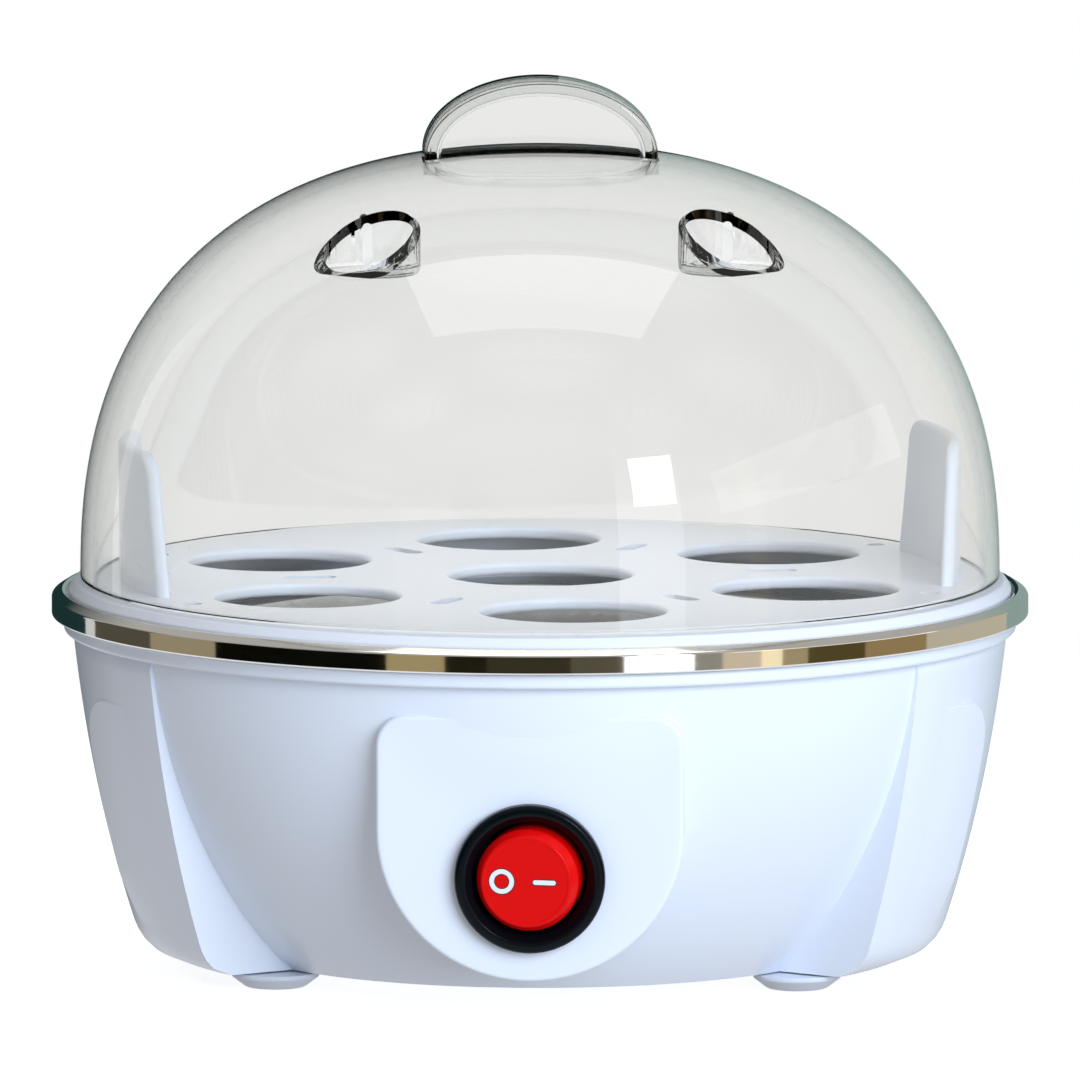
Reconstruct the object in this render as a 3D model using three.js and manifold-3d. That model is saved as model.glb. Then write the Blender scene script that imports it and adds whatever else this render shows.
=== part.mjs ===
// Egg cooker: a round countertop steamer for seven eggs.
//
// Millimetres, +Z up. The origin is on the table, under the middle of the cooker. The switch
// panel faces -Y. An azimuth is counted from the front (-Y) towards +X.
import * as THREE from 'three';
import { mergeVertices } from 'three/addons/utils/BufferGeometryUtils.js';
import Module from 'manifold-3d';

const wasm = await Module();
wasm.setup();

// ---------------------------------------------------------------------------------------
// Driving dimensions
// ---------------------------------------------------------------------------------------

const RING_RADIUS = 80; // outside of the chrome band, the widest part
const ROUND = 36; // facets of the large turned parts
const FINE = 12; // facets of small round parts
const GAP = 0.3; // clearance between pieces that touch on the real cooker

// Base housing
const BODY_BOTTOM = 2.8;
const BODY_TOP = 55.6;
const BOWL_WALL = 2.8; // measured level, so about 2 mm square to the slanting wall
const LEG_WALL = 2.4;
const LEG_HALF_ANGLE = 35;
const BEAD_RADIUS = 78;
const BEAD_TOP = 57.9;
const NECK_RADIUS = 76.9;
const NECK_BORE = 75;
const NECK_TOP = 60.4;
const SHELF_BORE = 63.5; // the pan hangs in this opening
const SHELF_BOTTOM = 50.4;
const SHELF_TOP = 52.9;

// Switch panel, a leaning shield-shaped face
const PANEL_LEAN = 4;
const PANEL_FRONT = 71.5; // distance from the axis to the face at the switch's centre
const SWITCH_HEIGHT = 24.1;
const PANEL_HALF_WIDTH = 25;
const PANEL_ROUND_CENTRE = 7.6; // up the face from the switch's centre
const PANEL_TOP = 26.6;
const PANEL_CORNER = 5;
const PANEL_DEPTH = 30;
const PANEL_WALL = 2.2;
const PANEL_HOLE_RADIUS = 10.45;

// Cord outlet in the rear wall
const OUTLET_HEIGHT = 14.5;
const OUTLET_FACE = 65;
const OUTLET_PAD_RADIUS = 8;
const OUTLET_HOLE = 5.2;
const CORD_BORE = 3.25;
const GLAND_LENGTH = 16.5;
const GLAND_SHANK = 14.3; // from its inner end to the back of its flange
const GLAND_SHANK_RADIUS = 4.8;
const GLAND_FLANGE_RADIUS = 7.4;

// Egg tray
const TRAY_TURN = 7.8; // the loose tray stands a little turned in the base
const TRAY_RADIUS = 77.2;
const TRAY_TOP = 64.6;
const TRAY_THICKNESS = 2;
const LID_SEAT = 63.8;
const SEAT_RADIUS = 15;
const SEAT_CIRCLE = 47;
const STEAM_SLOT_CIRCLE = 38;
const POST_SLOT_AZIMUTH = 62;
const POST_RADIUS = 67.8;
const POST_THICKNESS = 2.2;
const POST_TOP = 87.5;
const POST_FOOT_HALF = 24;
const POST_TOP_HALF = 20.4;
const POST_CORNER = 5;

// Lid
const LID_TURN = 3.7; // and so does the lid
const LID_BOTTOM = 64.2;
const LID_RADIUS = 75.3;
const LID_HEIGHT = 70.4;
const LID_POWER = 2.4; // exponent of the superellipse that the dome is turned from
const LID_WALL = 2;
const GRIP_HALF_WIDTH = 19.1;
const GRIP_RISE = 12.2;
const GRIP_LEVEL = 134.1;
const GRIP_DEPTH = 12;
const VENT_RADIUS = 7.3;
const VENT_CIRCLE = 46.4;
const VENT_AZIMUTH = 39.2;
const VENT_FLOOR = 119.1;
const VENT_WALL = 1.3;
const VENT_SLOT_WIDTH = 1.7;
const VENT_SLOT_TOP = 125.9;

// Heater
const PAN_FLOOR = 46;
const PAN_THICKNESS = 1;
const PAN_RIM = 54.2;
const PAN_RADIUS = 70.5;
const SPREADER_RADIUS = 34;
const SPREADER_BOTTOM = 43.2;
const ELEMENT_CIRCLE = 27;
const ELEMENT_RADIUS = 3;
const ELEMENT_LEVEL = SPREADER_BOTTOM - GAP - ELEMENT_RADIUS;
const ELEMENT_GAP_HALF_ANGLE = 35;
const BRIDGE_BOTTOM = 35;
const BRIDGE_TOP = 36.3;
const BRIDGE_SCREW_X = 67;
const BRIDGE_BOSS_RADIUS = 3.4;
const BRIDGE_HALF_WIDTH = 7;
const SCREW_HOLE = 1.9; // radius of a hole for a large screw
const CLIP_SCREW_HOLE = 1.4;
const SHOULDER_RADIUS = 7.8;
const THERMOSTAT_RADIUS = 6.4;
const THERMOSTAT_BOTTOM = 28;
const CLIP_SCREW_Y = 11.5;
const TAB_X = 4.2; // the thermostat's two tabs
const TAB_DROP = 3;

// Switch, in its own frame: x to the right, y up the panel, z out of the panel
const BEZEL_RADIUS = 12.25;
const BEZEL_HEIGHT = 2.6;
const BARREL_RADIUS = 10.1;
const BARREL_BORE = 9.2;
const BARREL_BACK = -20;
const BARREL_FLOOR = -16;
const ROCKER_RADIUS = 8.4;
const ROCKER_FRONT = 4.2;
const ROCKER_TILT = 8; // the side with the circle mark is pressed in
const CONTACT_TILT = 6;
const CONTACT_PIVOT = -10.6;
const TERMINAL_PITCH = 6;
const TERMINAL_END = -27;

// Underside
const COVER_BOTTOM = 3.2;
const COVER_TOP = 5.2;
const COVER_RADIUS = 45.4;
const COVER_LEG_RADIUS = 57.2;
const COVER_SCREW_CIRCLE = 50;
const COVER_SCREW_ANGLE = 18;
const COVER_BOSS_TOP = 44;
const COVER_BOSS_RADIUS = 3.4;
const COVER_HOLE = 1.8;
const FOOT_CIRCLE = 50.5;
const FOOT_AZIMUTH = 57.5;
const FOOT_RADIUS = 7.2;
const FOOT_HEIGHT = 2.5;

const rad = THREE.MathUtils.degToRad;

// ---------------------------------------------------------------------------------------
// Materials
// ---------------------------------------------------------------------------------------

const finish = (color, roughness, metalness = 0) =>
  new THREE.MeshStandardMaterial({ color, roughness, metalness });

const WHITE_PLASTIC = finish(0xf0f3fa, 0.28);
const TRAY_PLASTIC = finish(0xdde1e8, 0.35);
const CLEAR_PLASTIC = new THREE.MeshStandardMaterial({
  color: 0xe8e8e4, roughness: 0.05, transparent: true, opacity: 0.3,
});
const CHROME = finish(0xd8d8d4, 0.06, 1);
const STAINLESS = finish(0xc4c6c8, 0.25, 1);
const ALUMINIUM = finish(0xb8babd, 0.4, 1);
const ZINC_STEEL = finish(0xaeb0b4, 0.35, 1);
const BRASS = finish(0xc8a860, 0.3, 1);
const BLACK_PLASTIC = finish(0x0c1012, 0.25);
const RED_PLASTIC = finish(0xd8141a, 0.2);
const SILICONE = finish(0xb4b8bc, 0.6);
const CERAMIC = finish(0xe6e2d6, 0.5);
const LAMP_GLASS = finish(0xffc9a0, 0.1);
const LEAD_SLEEVE = finish(0xe9e6dc, 0.6);

// ---------------------------------------------------------------------------------------
// Shape helpers
// ---------------------------------------------------------------------------------------

// A closed geometry as a solid that can be joined and cut
function solid(geometry) {
  const bare = geometry.clone();
  bare.deleteAttribute('normal');
  bare.deleteAttribute('uv');
  const merged = mergeVertices(bare, 1e-4);
  const corners = merged.index.array;
  const triangles = [];
  for (let i = 0; i < corners.length; i += 3) {
    const [a, b, c] = corners.slice(i, i + 3);
    if (a !== b && b !== c && c !== a) triangles.push(a, b, c);
  }
  return new wasm.Manifold(new wasm.Mesh({
    numProp: 3,
    vertProperties: merged.attributes.position.array,
    triVerts: new Uint32Array(triangles),
  }));
}

function surface(cut) {
  const { vertProperties, triVerts } = cut.getMesh();
  const geometry = new THREE.BufferGeometry();
  geometry.setAttribute('position', new THREE.BufferAttribute(vertProperties, 3));
  geometry.setIndex(new THREE.BufferAttribute(triVerts, 1));
  return geometry;
}

// Turned about Z from [radius, height] points, listed with the material on their left
function turned(profile, facets = ROUND) {
  const points = profile.map(([radius, height]) => new THREE.Vector2(radius, height));
  return new THREE.LatheGeometry(points, facets).rotateX(Math.PI / 2);
}

// A round bar along Z
function bar(radius, low, high, facets = FINE) {
  return new THREE.CylinderGeometry(radius, radius, high - low, facets)
    .rotateX(Math.PI / 2)
    .translate(0, 0, (low + high) / 2);
}

function block(low, high) {
  const size = high.map((value, axis) => value - low[axis]);
  const centre = high.map((value, axis) => (value + low[axis]) / 2);
  return new THREE.BoxGeometry(...size).translate(...centre);
}

// An outline extruded along Z from one height to another
function slab(outline, low, high, curveSegments = 5) {
  return new THREE.ExtrudeGeometry(outline, { depth: high - low, bevelEnabled: false, curveSegments })
    .translate(0, 0, low);
}

// A point at an azimuth and a distance from the axis
function around(azimuth, distance, height = 0) {
  return [distance * Math.sin(rad(azimuth)), -distance * Math.cos(rad(azimuth)), height];
}

function union(first, ...others) {
  return others.reduce((sum, next) => sum.add(next), first);
}

function without(first, ...others) {
  return others.reduce((rest, next) => rest.subtract(next), first);
}

function piece(name, shape, material, parent) {
  const geometry = shape.isBufferGeometry ? shape : surface(shape);
  const mesh = new THREE.Mesh(geometry, material);
  mesh.name = name;
  parent.add(mesh);
  return mesh;
}

const cooker = new THREE.Group();

// ---------------------------------------------------------------------------------------
// Base housing
// ---------------------------------------------------------------------------------------

function curvePoints(curve, steps) {
  return curve.getPoints(steps).map((point) => [point.x, point.y]);
}

// Front and back of the shell: a bowl that draws in strongly towards the table
function bowlProfile(inset) {
  return curvePoints(new THREE.CubicBezierCurve(
    new THREE.Vector2(48.6 - inset, BODY_BOTTOM),
    new THREE.Vector2(62.5 - inset, 14),
    new THREE.Vector2(74 - inset, 36),
    new THREE.Vector2(75 - inset, BODY_TOP),
  ), 6);
}

// The legs: nearly upright, with a rounded foot
function legProfile(inset) {
  const ankle = new THREE.Vector2(66.6 - inset, 8);
  const heel = new THREE.QuadraticBezierCurve(
    new THREE.Vector2(60.5 - inset, BODY_BOTTOM),
    new THREE.Vector2(65 - inset, BODY_BOTTOM + 0.7),
    ankle,
  );
  const shin = new THREE.QuadraticBezierCurve(
    ankle,
    new THREE.Vector2(73.2 - inset, 30),
    new THREE.Vector2(77.3 - inset, BODY_TOP),
  );
  return [...curvePoints(heel, 2), ...curvePoints(shin, 3).slice(1)];
}

// The solid under a profile, from one height to the top of the profile or to another height
function filled(profile, low, high) {
  const [first] = profile;
  const last = profile[profile.length - 1];
  const foot = low < first[1] ? [[first[0], low]] : [];
  const head = high > last[1] ? [[last[0], high]] : [];
  return turned([[0, low], ...foot, ...profile, ...head, [0, high]]);
}

// Both leg sectors, kept back from their side planes by an inset
function legSectors(inset) {
  const reach = 110;
  const apex = inset / Math.sin(rad(LEG_HALF_ANGLE));
  const outline = new THREE.Shape([
    new THREE.Vector2(apex, 0),
    new THREE.Vector2(apex + reach, -reach * Math.tan(rad(LEG_HALF_ANGLE))),
    new THREE.Vector2(apex + reach, reach * Math.tan(rad(LEG_HALF_ANGLE))),
  ]);
  const right = slab(outline, -5, 80);
  return union(solid(right), solid(right.clone().rotateZ(Math.PI)));
}

function shieldOutline(inset) {
  const half = PANEL_HALF_WIDTH - inset;
  const top = PANEL_TOP - inset;
  const corner = PANEL_CORNER - inset;
  const outline = new THREE.Shape();
  outline.absarc(0, PANEL_ROUND_CENTRE, half, Math.PI, 2 * Math.PI, false);
  outline.absarc(half - corner, top - corner, corner, 0, Math.PI / 2, false);
  outline.absarc(corner - half, top - corner, corner, Math.PI / 2, Math.PI, false);
  return outline;
}

// From the panel's own frame, centred on the switch, to the cooker's
function onPanel(geometry) {
  return geometry.rotateX(rad(90 + PANEL_LEAN)).translate(0, -PANEL_FRONT, SWITCH_HEIGHT);
}

// A round bar along Y
function acrossBar(radius, low, high, height, facets = FINE) {
  return bar(radius, -high, -low, facets).rotateX(Math.PI / 2).translate(0, 0, height);
}

function coverScrewPlaces() {
  const angles = [90 - COVER_SCREW_ANGLE, 90 + COVER_SCREW_ANGLE];
  return [...angles, ...angles.map((angle) => -angle)];
}

// A screw boss with a rib that ties it to the shell's wall
function coverBoss(azimuth) {
  const [x, y] = around(azimuth, COVER_SCREW_CIRCLE);
  const boss = solid(bar(COVER_BOSS_RADIUS, COVER_TOP + GAP, COVER_BOSS_TOP, 8).translate(x, y, 0));
  const rib = block([COVER_SCREW_CIRCLE, -1, COVER_TOP + GAP], [100, 1, COVER_BOSS_TOP]);
  return union(boss, solid(rib.rotateZ(rad(azimuth - 90))));
}

function coverPilotHole(azimuth) {
  const [x, y] = around(azimuth, COVER_SCREW_CIRCLE);
  return solid(bar(COVER_HOLE, 0, 20, 8).translate(x, y, 0));
}

function bridgeBoss(side) {
  const boss = bar(BRIDGE_BOSS_RADIUS, BRIDGE_TOP + GAP, SHELF_BOTTOM + 1);
  return solid(boss.translate(side * BRIDGE_SCREW_X, 0, 0));
}

function bridgePilotHole(side) {
  return solid(bar(SCREW_HOLE, 30, 46).translate(side * BRIDGE_SCREW_X, 0, 0));
}

function housing() {
  const rim = solid(turned([
    [0, BODY_TOP - 1], [NECK_BORE - 0.4, BODY_TOP - 1], [NECK_BORE, BODY_TOP],
    [BEAD_RADIUS - 0.5, BODY_TOP + 0.2],
    [BEAD_RADIUS, BODY_TOP + 0.8], [BEAD_RADIUS, BEAD_TOP - 0.7], [BEAD_RADIUS - 0.5, BEAD_TOP],
    [NECK_RADIUS, BEAD_TOP], [NECK_RADIUS, NECK_TOP], [0, NECK_TOP],
  ]));
  const bowl = solid(filled(bowlProfile(0), BODY_BOTTOM, BODY_TOP));
  const legs = solid(filled(legProfile(0), BODY_BOTTOM, BODY_TOP)).intersect(legSectors(0));
  const panel = solid(onPanel(slab(shieldOutline(0), -PANEL_DEPTH, 0)));
  const pad = solid(acrossBar(OUTLET_PAD_RADIUS, 40, OUTLET_FACE, OUTLET_HEIGHT));
  const outside = union(bowl, legs, panel, pad, rim);

  const bowlRoom = solid(filled(bowlProfile(BOWL_WALL), 0, BODY_TOP));
  const legRoom = solid(filled(legProfile(LEG_WALL), 0, BODY_TOP)).intersect(legSectors(LEG_WALL));
  const panelRoom = solid(onPanel(slab(shieldOutline(PANEL_WALL), -PANEL_DEPTH - 1, -PANEL_WALL)));
  const belowShelf = solid(bar(90, -1, SHELF_BOTTOM));
  const room = union(bowlRoom, legRoom, panelRoom).intersect(belowShelf);
  const ribs = coverScrewPlaces().map(coverBoss);
  const fittings = union(...ribs, bridgeBoss(1), bridgeBoss(-1)).intersect(outside);

  const well = solid(turned([
    [0, SHELF_BOTTOM - 1], [SHELF_BORE, SHELF_BOTTOM - 1], [SHELF_BORE, SHELF_TOP], [72.2, SHELF_TOP],
    [72.6, BODY_TOP], [NECK_BORE, BEAD_TOP - 0.4], [NECK_BORE, NECK_TOP + 1], [0, NECK_TOP + 1],
  ]));
  return without(
    union(without(outside, room), fittings),
    well,
    ...coverScrewPlaces().map(coverPilotHole),
    bridgePilotHole(1),
    bridgePilotHole(-1),
    solid(onPanel(bar(PANEL_HOLE_RADIUS, -10, 5, 24))),
    solid(acrossBar(OUTLET_HOLE, 40, 70, OUTLET_HEIGHT)),
  );
}

piece('base_housing', housing(), WHITE_PLASTIC, cooker);

piece('trim_ring', turned([
  [77.7, 58.2], [79.3, 58.2], [RING_RADIUS, 58.9], [RING_RADIUS, 61],
  [79.3, 61.9], [78.2, 62.3], [77.7, 62], [77.7, 58.2],
]), CHROME, cooker);

// The gland that the cord comes out of: a flanged bush
piece('cord_gland', turned([
  [CORD_BORE, 0], [GLAND_SHANK_RADIUS, 0], [GLAND_SHANK_RADIUS, GLAND_SHANK],
  [GLAND_FLANGE_RADIUS, GLAND_SHANK], [GLAND_FLANGE_RADIUS, GLAND_LENGTH - 0.8],
  [GLAND_FLANGE_RADIUS - 0.8, GLAND_LENGTH], [CORD_BORE, GLAND_LENGTH], [CORD_BORE, 0],
], FINE).rotateX(-Math.PI / 2).translate(0, OUTLET_FACE + GAP - GLAND_SHANK, OUTLET_HEIGHT),
BLACK_PLASTIC, cooker);

// ---------------------------------------------------------------------------------------
// Egg tray, in its own frame with a seat at the front
// ---------------------------------------------------------------------------------------

// A slot through the tray along the line from the axis
function traySlot(azimuth, distance, length, width) {
  const outline = new THREE.Shape();
  const reach = (length - width) / 2;
  outline.absarc(reach, 0, width / 2, -Math.PI / 2, Math.PI / 2, false);
  outline.absarc(-reach, 0, width / 2, Math.PI / 2, 1.5 * Math.PI, false);
  return slab(outline, 50, 70, 2).rotateZ(rad(azimuth - 90)).translate(...around(azimuth, distance));
}

function trayPost(side) {
  const inner = POST_RADIUS - POST_THICKNESS / 2;
  const outer = POST_RADIUS + POST_THICKNESS / 2;
  const low = TRAY_TOP - 1;
  const tube = turned([[inner, low], [outer, low], [outer, 90], [inner, 90], [inner, low]]);
  const outline = new THREE.Shape();
  outline.moveTo(-POST_FOOT_HALF, low);
  outline.lineTo(POST_FOOT_HALF, low);
  outline.lineTo(POST_TOP_HALF, POST_TOP - POST_CORNER);
  const cornerX = POST_TOP_HALF - POST_CORNER;
  const cornerZ = POST_TOP - POST_CORNER;
  outline.absarc(cornerX, cornerZ, POST_CORNER, 0, Math.PI / 2, false);
  outline.absarc(-cornerX, cornerZ, POST_CORNER, Math.PI / 2, Math.PI, false);
  const tongue = slab(outline, 40, 80, 2).rotateX(Math.PI / 2).rotateZ(Math.PI / 2);
  return solid(tube).intersect(solid(tongue.rotateZ(side > 0 ? 0 : Math.PI)));
}

function tray() {
  const under = TRAY_TOP - TRAY_THICKNESS;
  const plate = turned([
    [0, under], [72, under], [72, 58.6], [73.8, 58.6], [73.8, 60.9], [76.8, 60.9],
    [TRAY_RADIUS, 61.3], [TRAY_RADIUS, 62.3], [76.4, 63.4], [75.7, LID_SEAT],
    [72.6, LID_SEAT], [72.2, TRAY_TOP], [0, TRAY_TOP],
  ]);
  const seats = [[0, 0, 0]];
  const steamSlots = [];
  for (let azimuth = 0; azimuth < 360; azimuth += 60) {
    seats.push(around(azimuth, SEAT_CIRCLE));
    steamSlots.push(traySlot(azimuth + 30, STEAM_SLOT_CIRCLE, 9, 3.2));
  }
  const postSlots = [POST_SLOT_AZIMUTH, 180 - POST_SLOT_AZIMUTH].flatMap((azimuth) => [
    traySlot(azimuth, POST_RADIUS, 3.2, 2.8), traySlot(-azimuth, POST_RADIUS, 3.2, 2.8),
  ]);
  return without(
    union(solid(plate), trayPost(1), trayPost(-1)),
    ...seats.map((place) => solid(bar(SEAT_RADIUS, 50, 70, 20).translate(...place))),
    ...[...steamSlots, ...postSlots].map(solid),
  );
}

const trayGroup = new THREE.Group();
trayGroup.rotation.z = rad(TRAY_TURN);
cooker.add(trayGroup);
piece('egg_tray', tray(), TRAY_PLASTIC, trayGroup);

// ---------------------------------------------------------------------------------------
// Lid: dome, grip and vents in one clear moulding
// ---------------------------------------------------------------------------------------

// The solid inside a superellipse of revolution standing on the lid's bottom
function dome(inset, low) {
  const steps = 8;
  const profile = [];
  for (let step = 0; step <= steps; step += 1) {
    const angle = (step / steps) * (Math.PI / 2);
    const across = step === steps ? 0 : Math.cos(angle) ** (2 / LID_POWER);
    const up = Math.sin(angle) ** (2 / LID_POWER);
    profile.push([(LID_RADIUS - inset) * across, LID_BOTTOM + (LID_HEIGHT - inset) * up]);
  }
  const skirt = low < LID_BOTTOM ? [[LID_RADIUS - inset, low]] : [];
  return solid(turned([[0, low], ...skirt, ...profile]));
}

function grip(inset, low) {
  const outline = new THREE.Shape();
  outline.moveTo(GRIP_HALF_WIDTH - inset, low);
  outline.absellipse(
    0, GRIP_LEVEL, GRIP_HALF_WIDTH - inset, GRIP_RISE - inset, 0, Math.PI, false, 0,
  );
  outline.lineTo(inset - GRIP_HALF_WIDTH, low);
  const half = GRIP_DEPTH / 2 - inset;
  return solid(slab(outline, -half, half, 8).rotateX(Math.PI / 2));
}

// The slot in a vent's rear wall, facing straight back
function ventSlot(azimuth) {
  const [x, y] = around(azimuth, VENT_CIRCLE);
  const half = VENT_SLOT_WIDTH / 2;
  const wall = y + VENT_RADIUS;
  return solid(block([x - half, wall - 2, VENT_FLOOR], [x + half, wall + 3, VENT_SLOT_TOP]));
}

function lid() {
  const outside = dome(0, LID_BOTTOM);
  const inside = dome(LID_WALL, LID_BOTTOM - 1);
  const vents = [VENT_AZIMUTH, -VENT_AZIMUTH];
  const cups = vents.map((azimuth) => {
    const place = around(azimuth, VENT_CIRCLE);
    const cup = bar(VENT_RADIUS + VENT_WALL, VENT_FLOOR - VENT_WALL, 140, 20).translate(...place);
    return solid(cup).intersect(outside);
  });
  const pockets = vents.map((azimuth) => {
    const place = around(azimuth, VENT_CIRCLE);
    return solid(bar(VENT_RADIUS, VENT_FLOOR, 141, 20).translate(...place));
  });
  const shell = without(union(outside, grip(0, 131.6)), inside);
  return without(
    union(shell, ...cups),
    grip(LID_WALL, 125),
    ...pockets,
    ...vents.map(ventSlot),
  );
}

const lidGroup = new THREE.Group();
lidGroup.rotation.z = rad(LID_TURN);
cooker.add(lidGroup);
piece('lid', lid(), CLEAR_PLASTIC, lidGroup);

// ---------------------------------------------------------------------------------------
// Heater: pan, seal, spreader, element, clamp bridge and thermostat
// ---------------------------------------------------------------------------------------

piece('heating_pan', turned([
  [0, PAN_FLOOR], [58, PAN_FLOOR], [60.4, PAN_FLOOR + 1.2], [62.2, PAN_RIM], [PAN_RADIUS, PAN_RIM],
  [PAN_RADIUS, PAN_RIM + PAN_THICKNESS], [61.4, PAN_RIM + PAN_THICKNESS],
  [59.6, PAN_FLOOR + PAN_THICKNESS + 1], [57.6, PAN_FLOOR + PAN_THICKNESS],
  [0, PAN_FLOOR + PAN_THICKNESS],
]), STAINLESS, cooker);

piece('pan_seal', turned([
  [64.4, SHELF_TOP + GAP], [69.6, SHELF_TOP + GAP], [69.6, PAN_RIM - GAP], [64.4, PAN_RIM - GAP],
  [64.4, SHELF_TOP + GAP],
], ROUND), SILICONE, cooker);

piece('heat_spreader', bar(SPREADER_RADIUS, SPREADER_BOTTOM, PAN_FLOOR - GAP, 32), ALUMINIUM, cooker);

// A round rod along a smooth line through points, with twice as many sides as quarterings
function rod(points, radius, steps, quarterings) {
  const section = new THREE.Shape();
  section.absarc(0, 0, radius, 0, 2 * Math.PI, false);
  const path = new THREE.CatmullRomCurve3(points.map((point) => new THREE.Vector3(...point)));
  return new THREE.ExtrudeGeometry(section, {
    steps, curveSegments: quarterings, bevelEnabled: false, extrudePath: path,
  });
}

function elementPoints() {
  const steps = 12;
  const points = [];
  for (let step = 0; step <= steps; step += 1) {
    const azimuth = (2 * step / steps - 1) * (180 - ELEMENT_GAP_HALF_ANGLE);
    points.push(around(azimuth, ELEMENT_CIRCLE, ELEMENT_LEVEL));
  }
  return points;
}

piece('heating_element', rod(elementPoints(), ELEMENT_RADIUS, 20, 4), STAINLESS, cooker);

// The connection pins carry on from the element's two ends
const PIN_LENGTH = 9;
const elementEnd = around(180 - ELEMENT_GAP_HALF_ANGLE, ELEMENT_CIRCLE, ELEMENT_LEVEL);
const pinAngle = rad(180 - ELEMENT_GAP_HALF_ANGLE);
for (const [name, side] of [['element_pin_right', 1], ['element_pin_left', -1]]) {
  const pin = bar(1.2, GAP, PIN_LENGTH, 8).rotateY(-side * Math.PI / 2);
  pin.rotateZ(-side * (Math.PI - pinAngle));
  piece(name, pin.translate(side * elementEnd[0], elementEnd[1], ELEMENT_LEVEL), BRASS, cooker);
}

function bridge() {
  const reach = BRIDGE_SCREW_X + BRIDGE_BOSS_RADIUS;
  const strip = block([-reach, -BRIDGE_HALF_WIDTH, BRIDGE_BOTTOM], [reach, BRIDGE_HALF_WIDTH, BRIDGE_TOP]);
  const holes = [
    bar(9, 30, 40),
    ...[1, -1].map((side) => bar(SCREW_HOLE, 30, 40, 8).translate(side * BRIDGE_SCREW_X, 0, 0)),
    ...[1, -1].map((side) => bar(CLIP_SCREW_HOLE, 30, 40, 8).translate(0, side * CLIP_SCREW_Y, 0)),
  ];
  return without(union(solid(strip), solid(bar(14.5, BRIDGE_BOTTOM, BRIDGE_TOP))), ...holes.map(solid));
}

piece('pan_bridge', bridge(), ZINC_STEEL, cooker);

// A pan-head screw that points up, with the underside of its head at a height
function screw(headRadius, shankRadius, seat, length) {
  const headHeight = headRadius * 0.6;
  return turned([
    [0, seat - headHeight], [headRadius * 0.7, seat - headHeight], [headRadius, seat - headHeight * 0.5],
    [headRadius, seat], [shankRadius, seat], [shankRadius, seat + length - shankRadius],
    [0, seat + length],
  ], 8);
}

for (const [name, side] of [['bridge_screw_right', 1], ['bridge_screw_left', -1]]) {
  const fastener = screw(3.3, 1.5, BRIDGE_BOTTOM - GAP, 10);
  piece(name, fastener.translate(side * BRIDGE_SCREW_X, 0, 0), ZINC_STEEL, cooker);
}

function thermostat() {
  const can = turned([
    [0, THERMOSTAT_BOTTOM], [THERMOSTAT_RADIUS, THERMOSTAT_BOTTOM], [THERMOSTAT_RADIUS, BRIDGE_BOTTOM],
    [SHOULDER_RADIUS, BRIDGE_BOTTOM], [SHOULDER_RADIUS, SPREADER_BOTTOM - GAP],
    [0, SPREADER_BOTTOM - GAP],
  ], FINE);
  const tabs = [1, -1].map((side) => {
    const x = side * TAB_X;
    const low = THERMOSTAT_BOTTOM - TAB_DROP;
    return solid(block([x - 0.5, -2.4, low], [x + 0.5, 2.4, THERMOSTAT_BOTTOM + 1]));
  });
  return union(solid(can), ...tabs);
}

piece('thermostat', thermostat(), CERAMIC, cooker);

function thermostatClip() {
  const top = BRIDGE_BOTTOM - GAP;
  const bottom = top - 1;
  const ears = block([-3, -CLIP_SCREW_Y - 3, bottom], [3, CLIP_SCREW_Y + 3, top]);
  const holes = [
    bar(THERMOSTAT_RADIUS + 0.4, 30, 40),
    ...[1, -1].map((side) => bar(CLIP_SCREW_HOLE, 30, 40, 8).translate(0, side * CLIP_SCREW_Y, 0)),
  ];
  return without(union(solid(ears), solid(bar(9.4, bottom, top))), ...holes.map(solid));
}

piece('thermostat_clip', thermostatClip(), ZINC_STEEL, cooker);

for (const [name, side] of [['clip_screw_back', 1], ['clip_screw_front', -1]]) {
  const fastener = screw(2.2, 1, BRIDGE_BOTTOM - 2 * GAP - 1, 4.5);
  piece(name, fastener.translate(0, side * CLIP_SCREW_Y, 0), ZINC_STEEL, cooker);
}

const FUSE_HALF_LENGTH = 8;
const FUSE_PLACE = [0, 18, 32.5];
piece(
  'thermal_fuse',
  bar(2.3, -FUSE_HALF_LENGTH, FUSE_HALF_LENGTH, 10).rotateY(Math.PI / 2).translate(...FUSE_PLACE),
  CERAMIC,
  cooker,
);

// ---------------------------------------------------------------------------------------
// Switch, in the panel's frame
// ---------------------------------------------------------------------------------------

const switchGroup = new THREE.Group();
switchGroup.rotation.x = rad(90 + PANEL_LEAN);
switchGroup.position.set(0, -PANEL_FRONT, SWITCH_HEIGHT);
cooker.add(switchGroup);

const TERMINALS = [
  ['switch_terminal_live', -TERMINAL_PITCH, -12.6],
  ['switch_terminal_common', 0, -11.4],
  ['switch_terminal_lamp', TERMINAL_PITCH, -12.6],
];

function switchShell() {
  const shell = turned([
    [0, BARREL_BACK], [BARREL_RADIUS, BARREL_BACK], [BARREL_RADIUS, GAP], [BEZEL_RADIUS, GAP],
    [BEZEL_RADIUS, BEZEL_HEIGHT - 1], [BEZEL_RADIUS - 0.9, BEZEL_HEIGHT],
    [BARREL_BORE + 0.7, BEZEL_HEIGHT], [BARREL_BORE, BEZEL_HEIGHT - 0.6],
    [BARREL_BORE, BARREL_FLOOR], [0, BARREL_FLOOR],
  ], 24);
  const slots = TERMINALS.map(([, x]) => {
    return block([x - 0.8, -2.8, BARREL_BACK - 1], [x + 0.8, 2.8, BARREL_FLOOR + 1]);
  });
  const pivotHoles = bar(1.4, -BARREL_RADIUS - 1, BARREL_RADIUS + 1, 8).rotateX(Math.PI / 2);
  return without(solid(shell), ...slots.map(solid), solid(pivotHoles));
}

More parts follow.
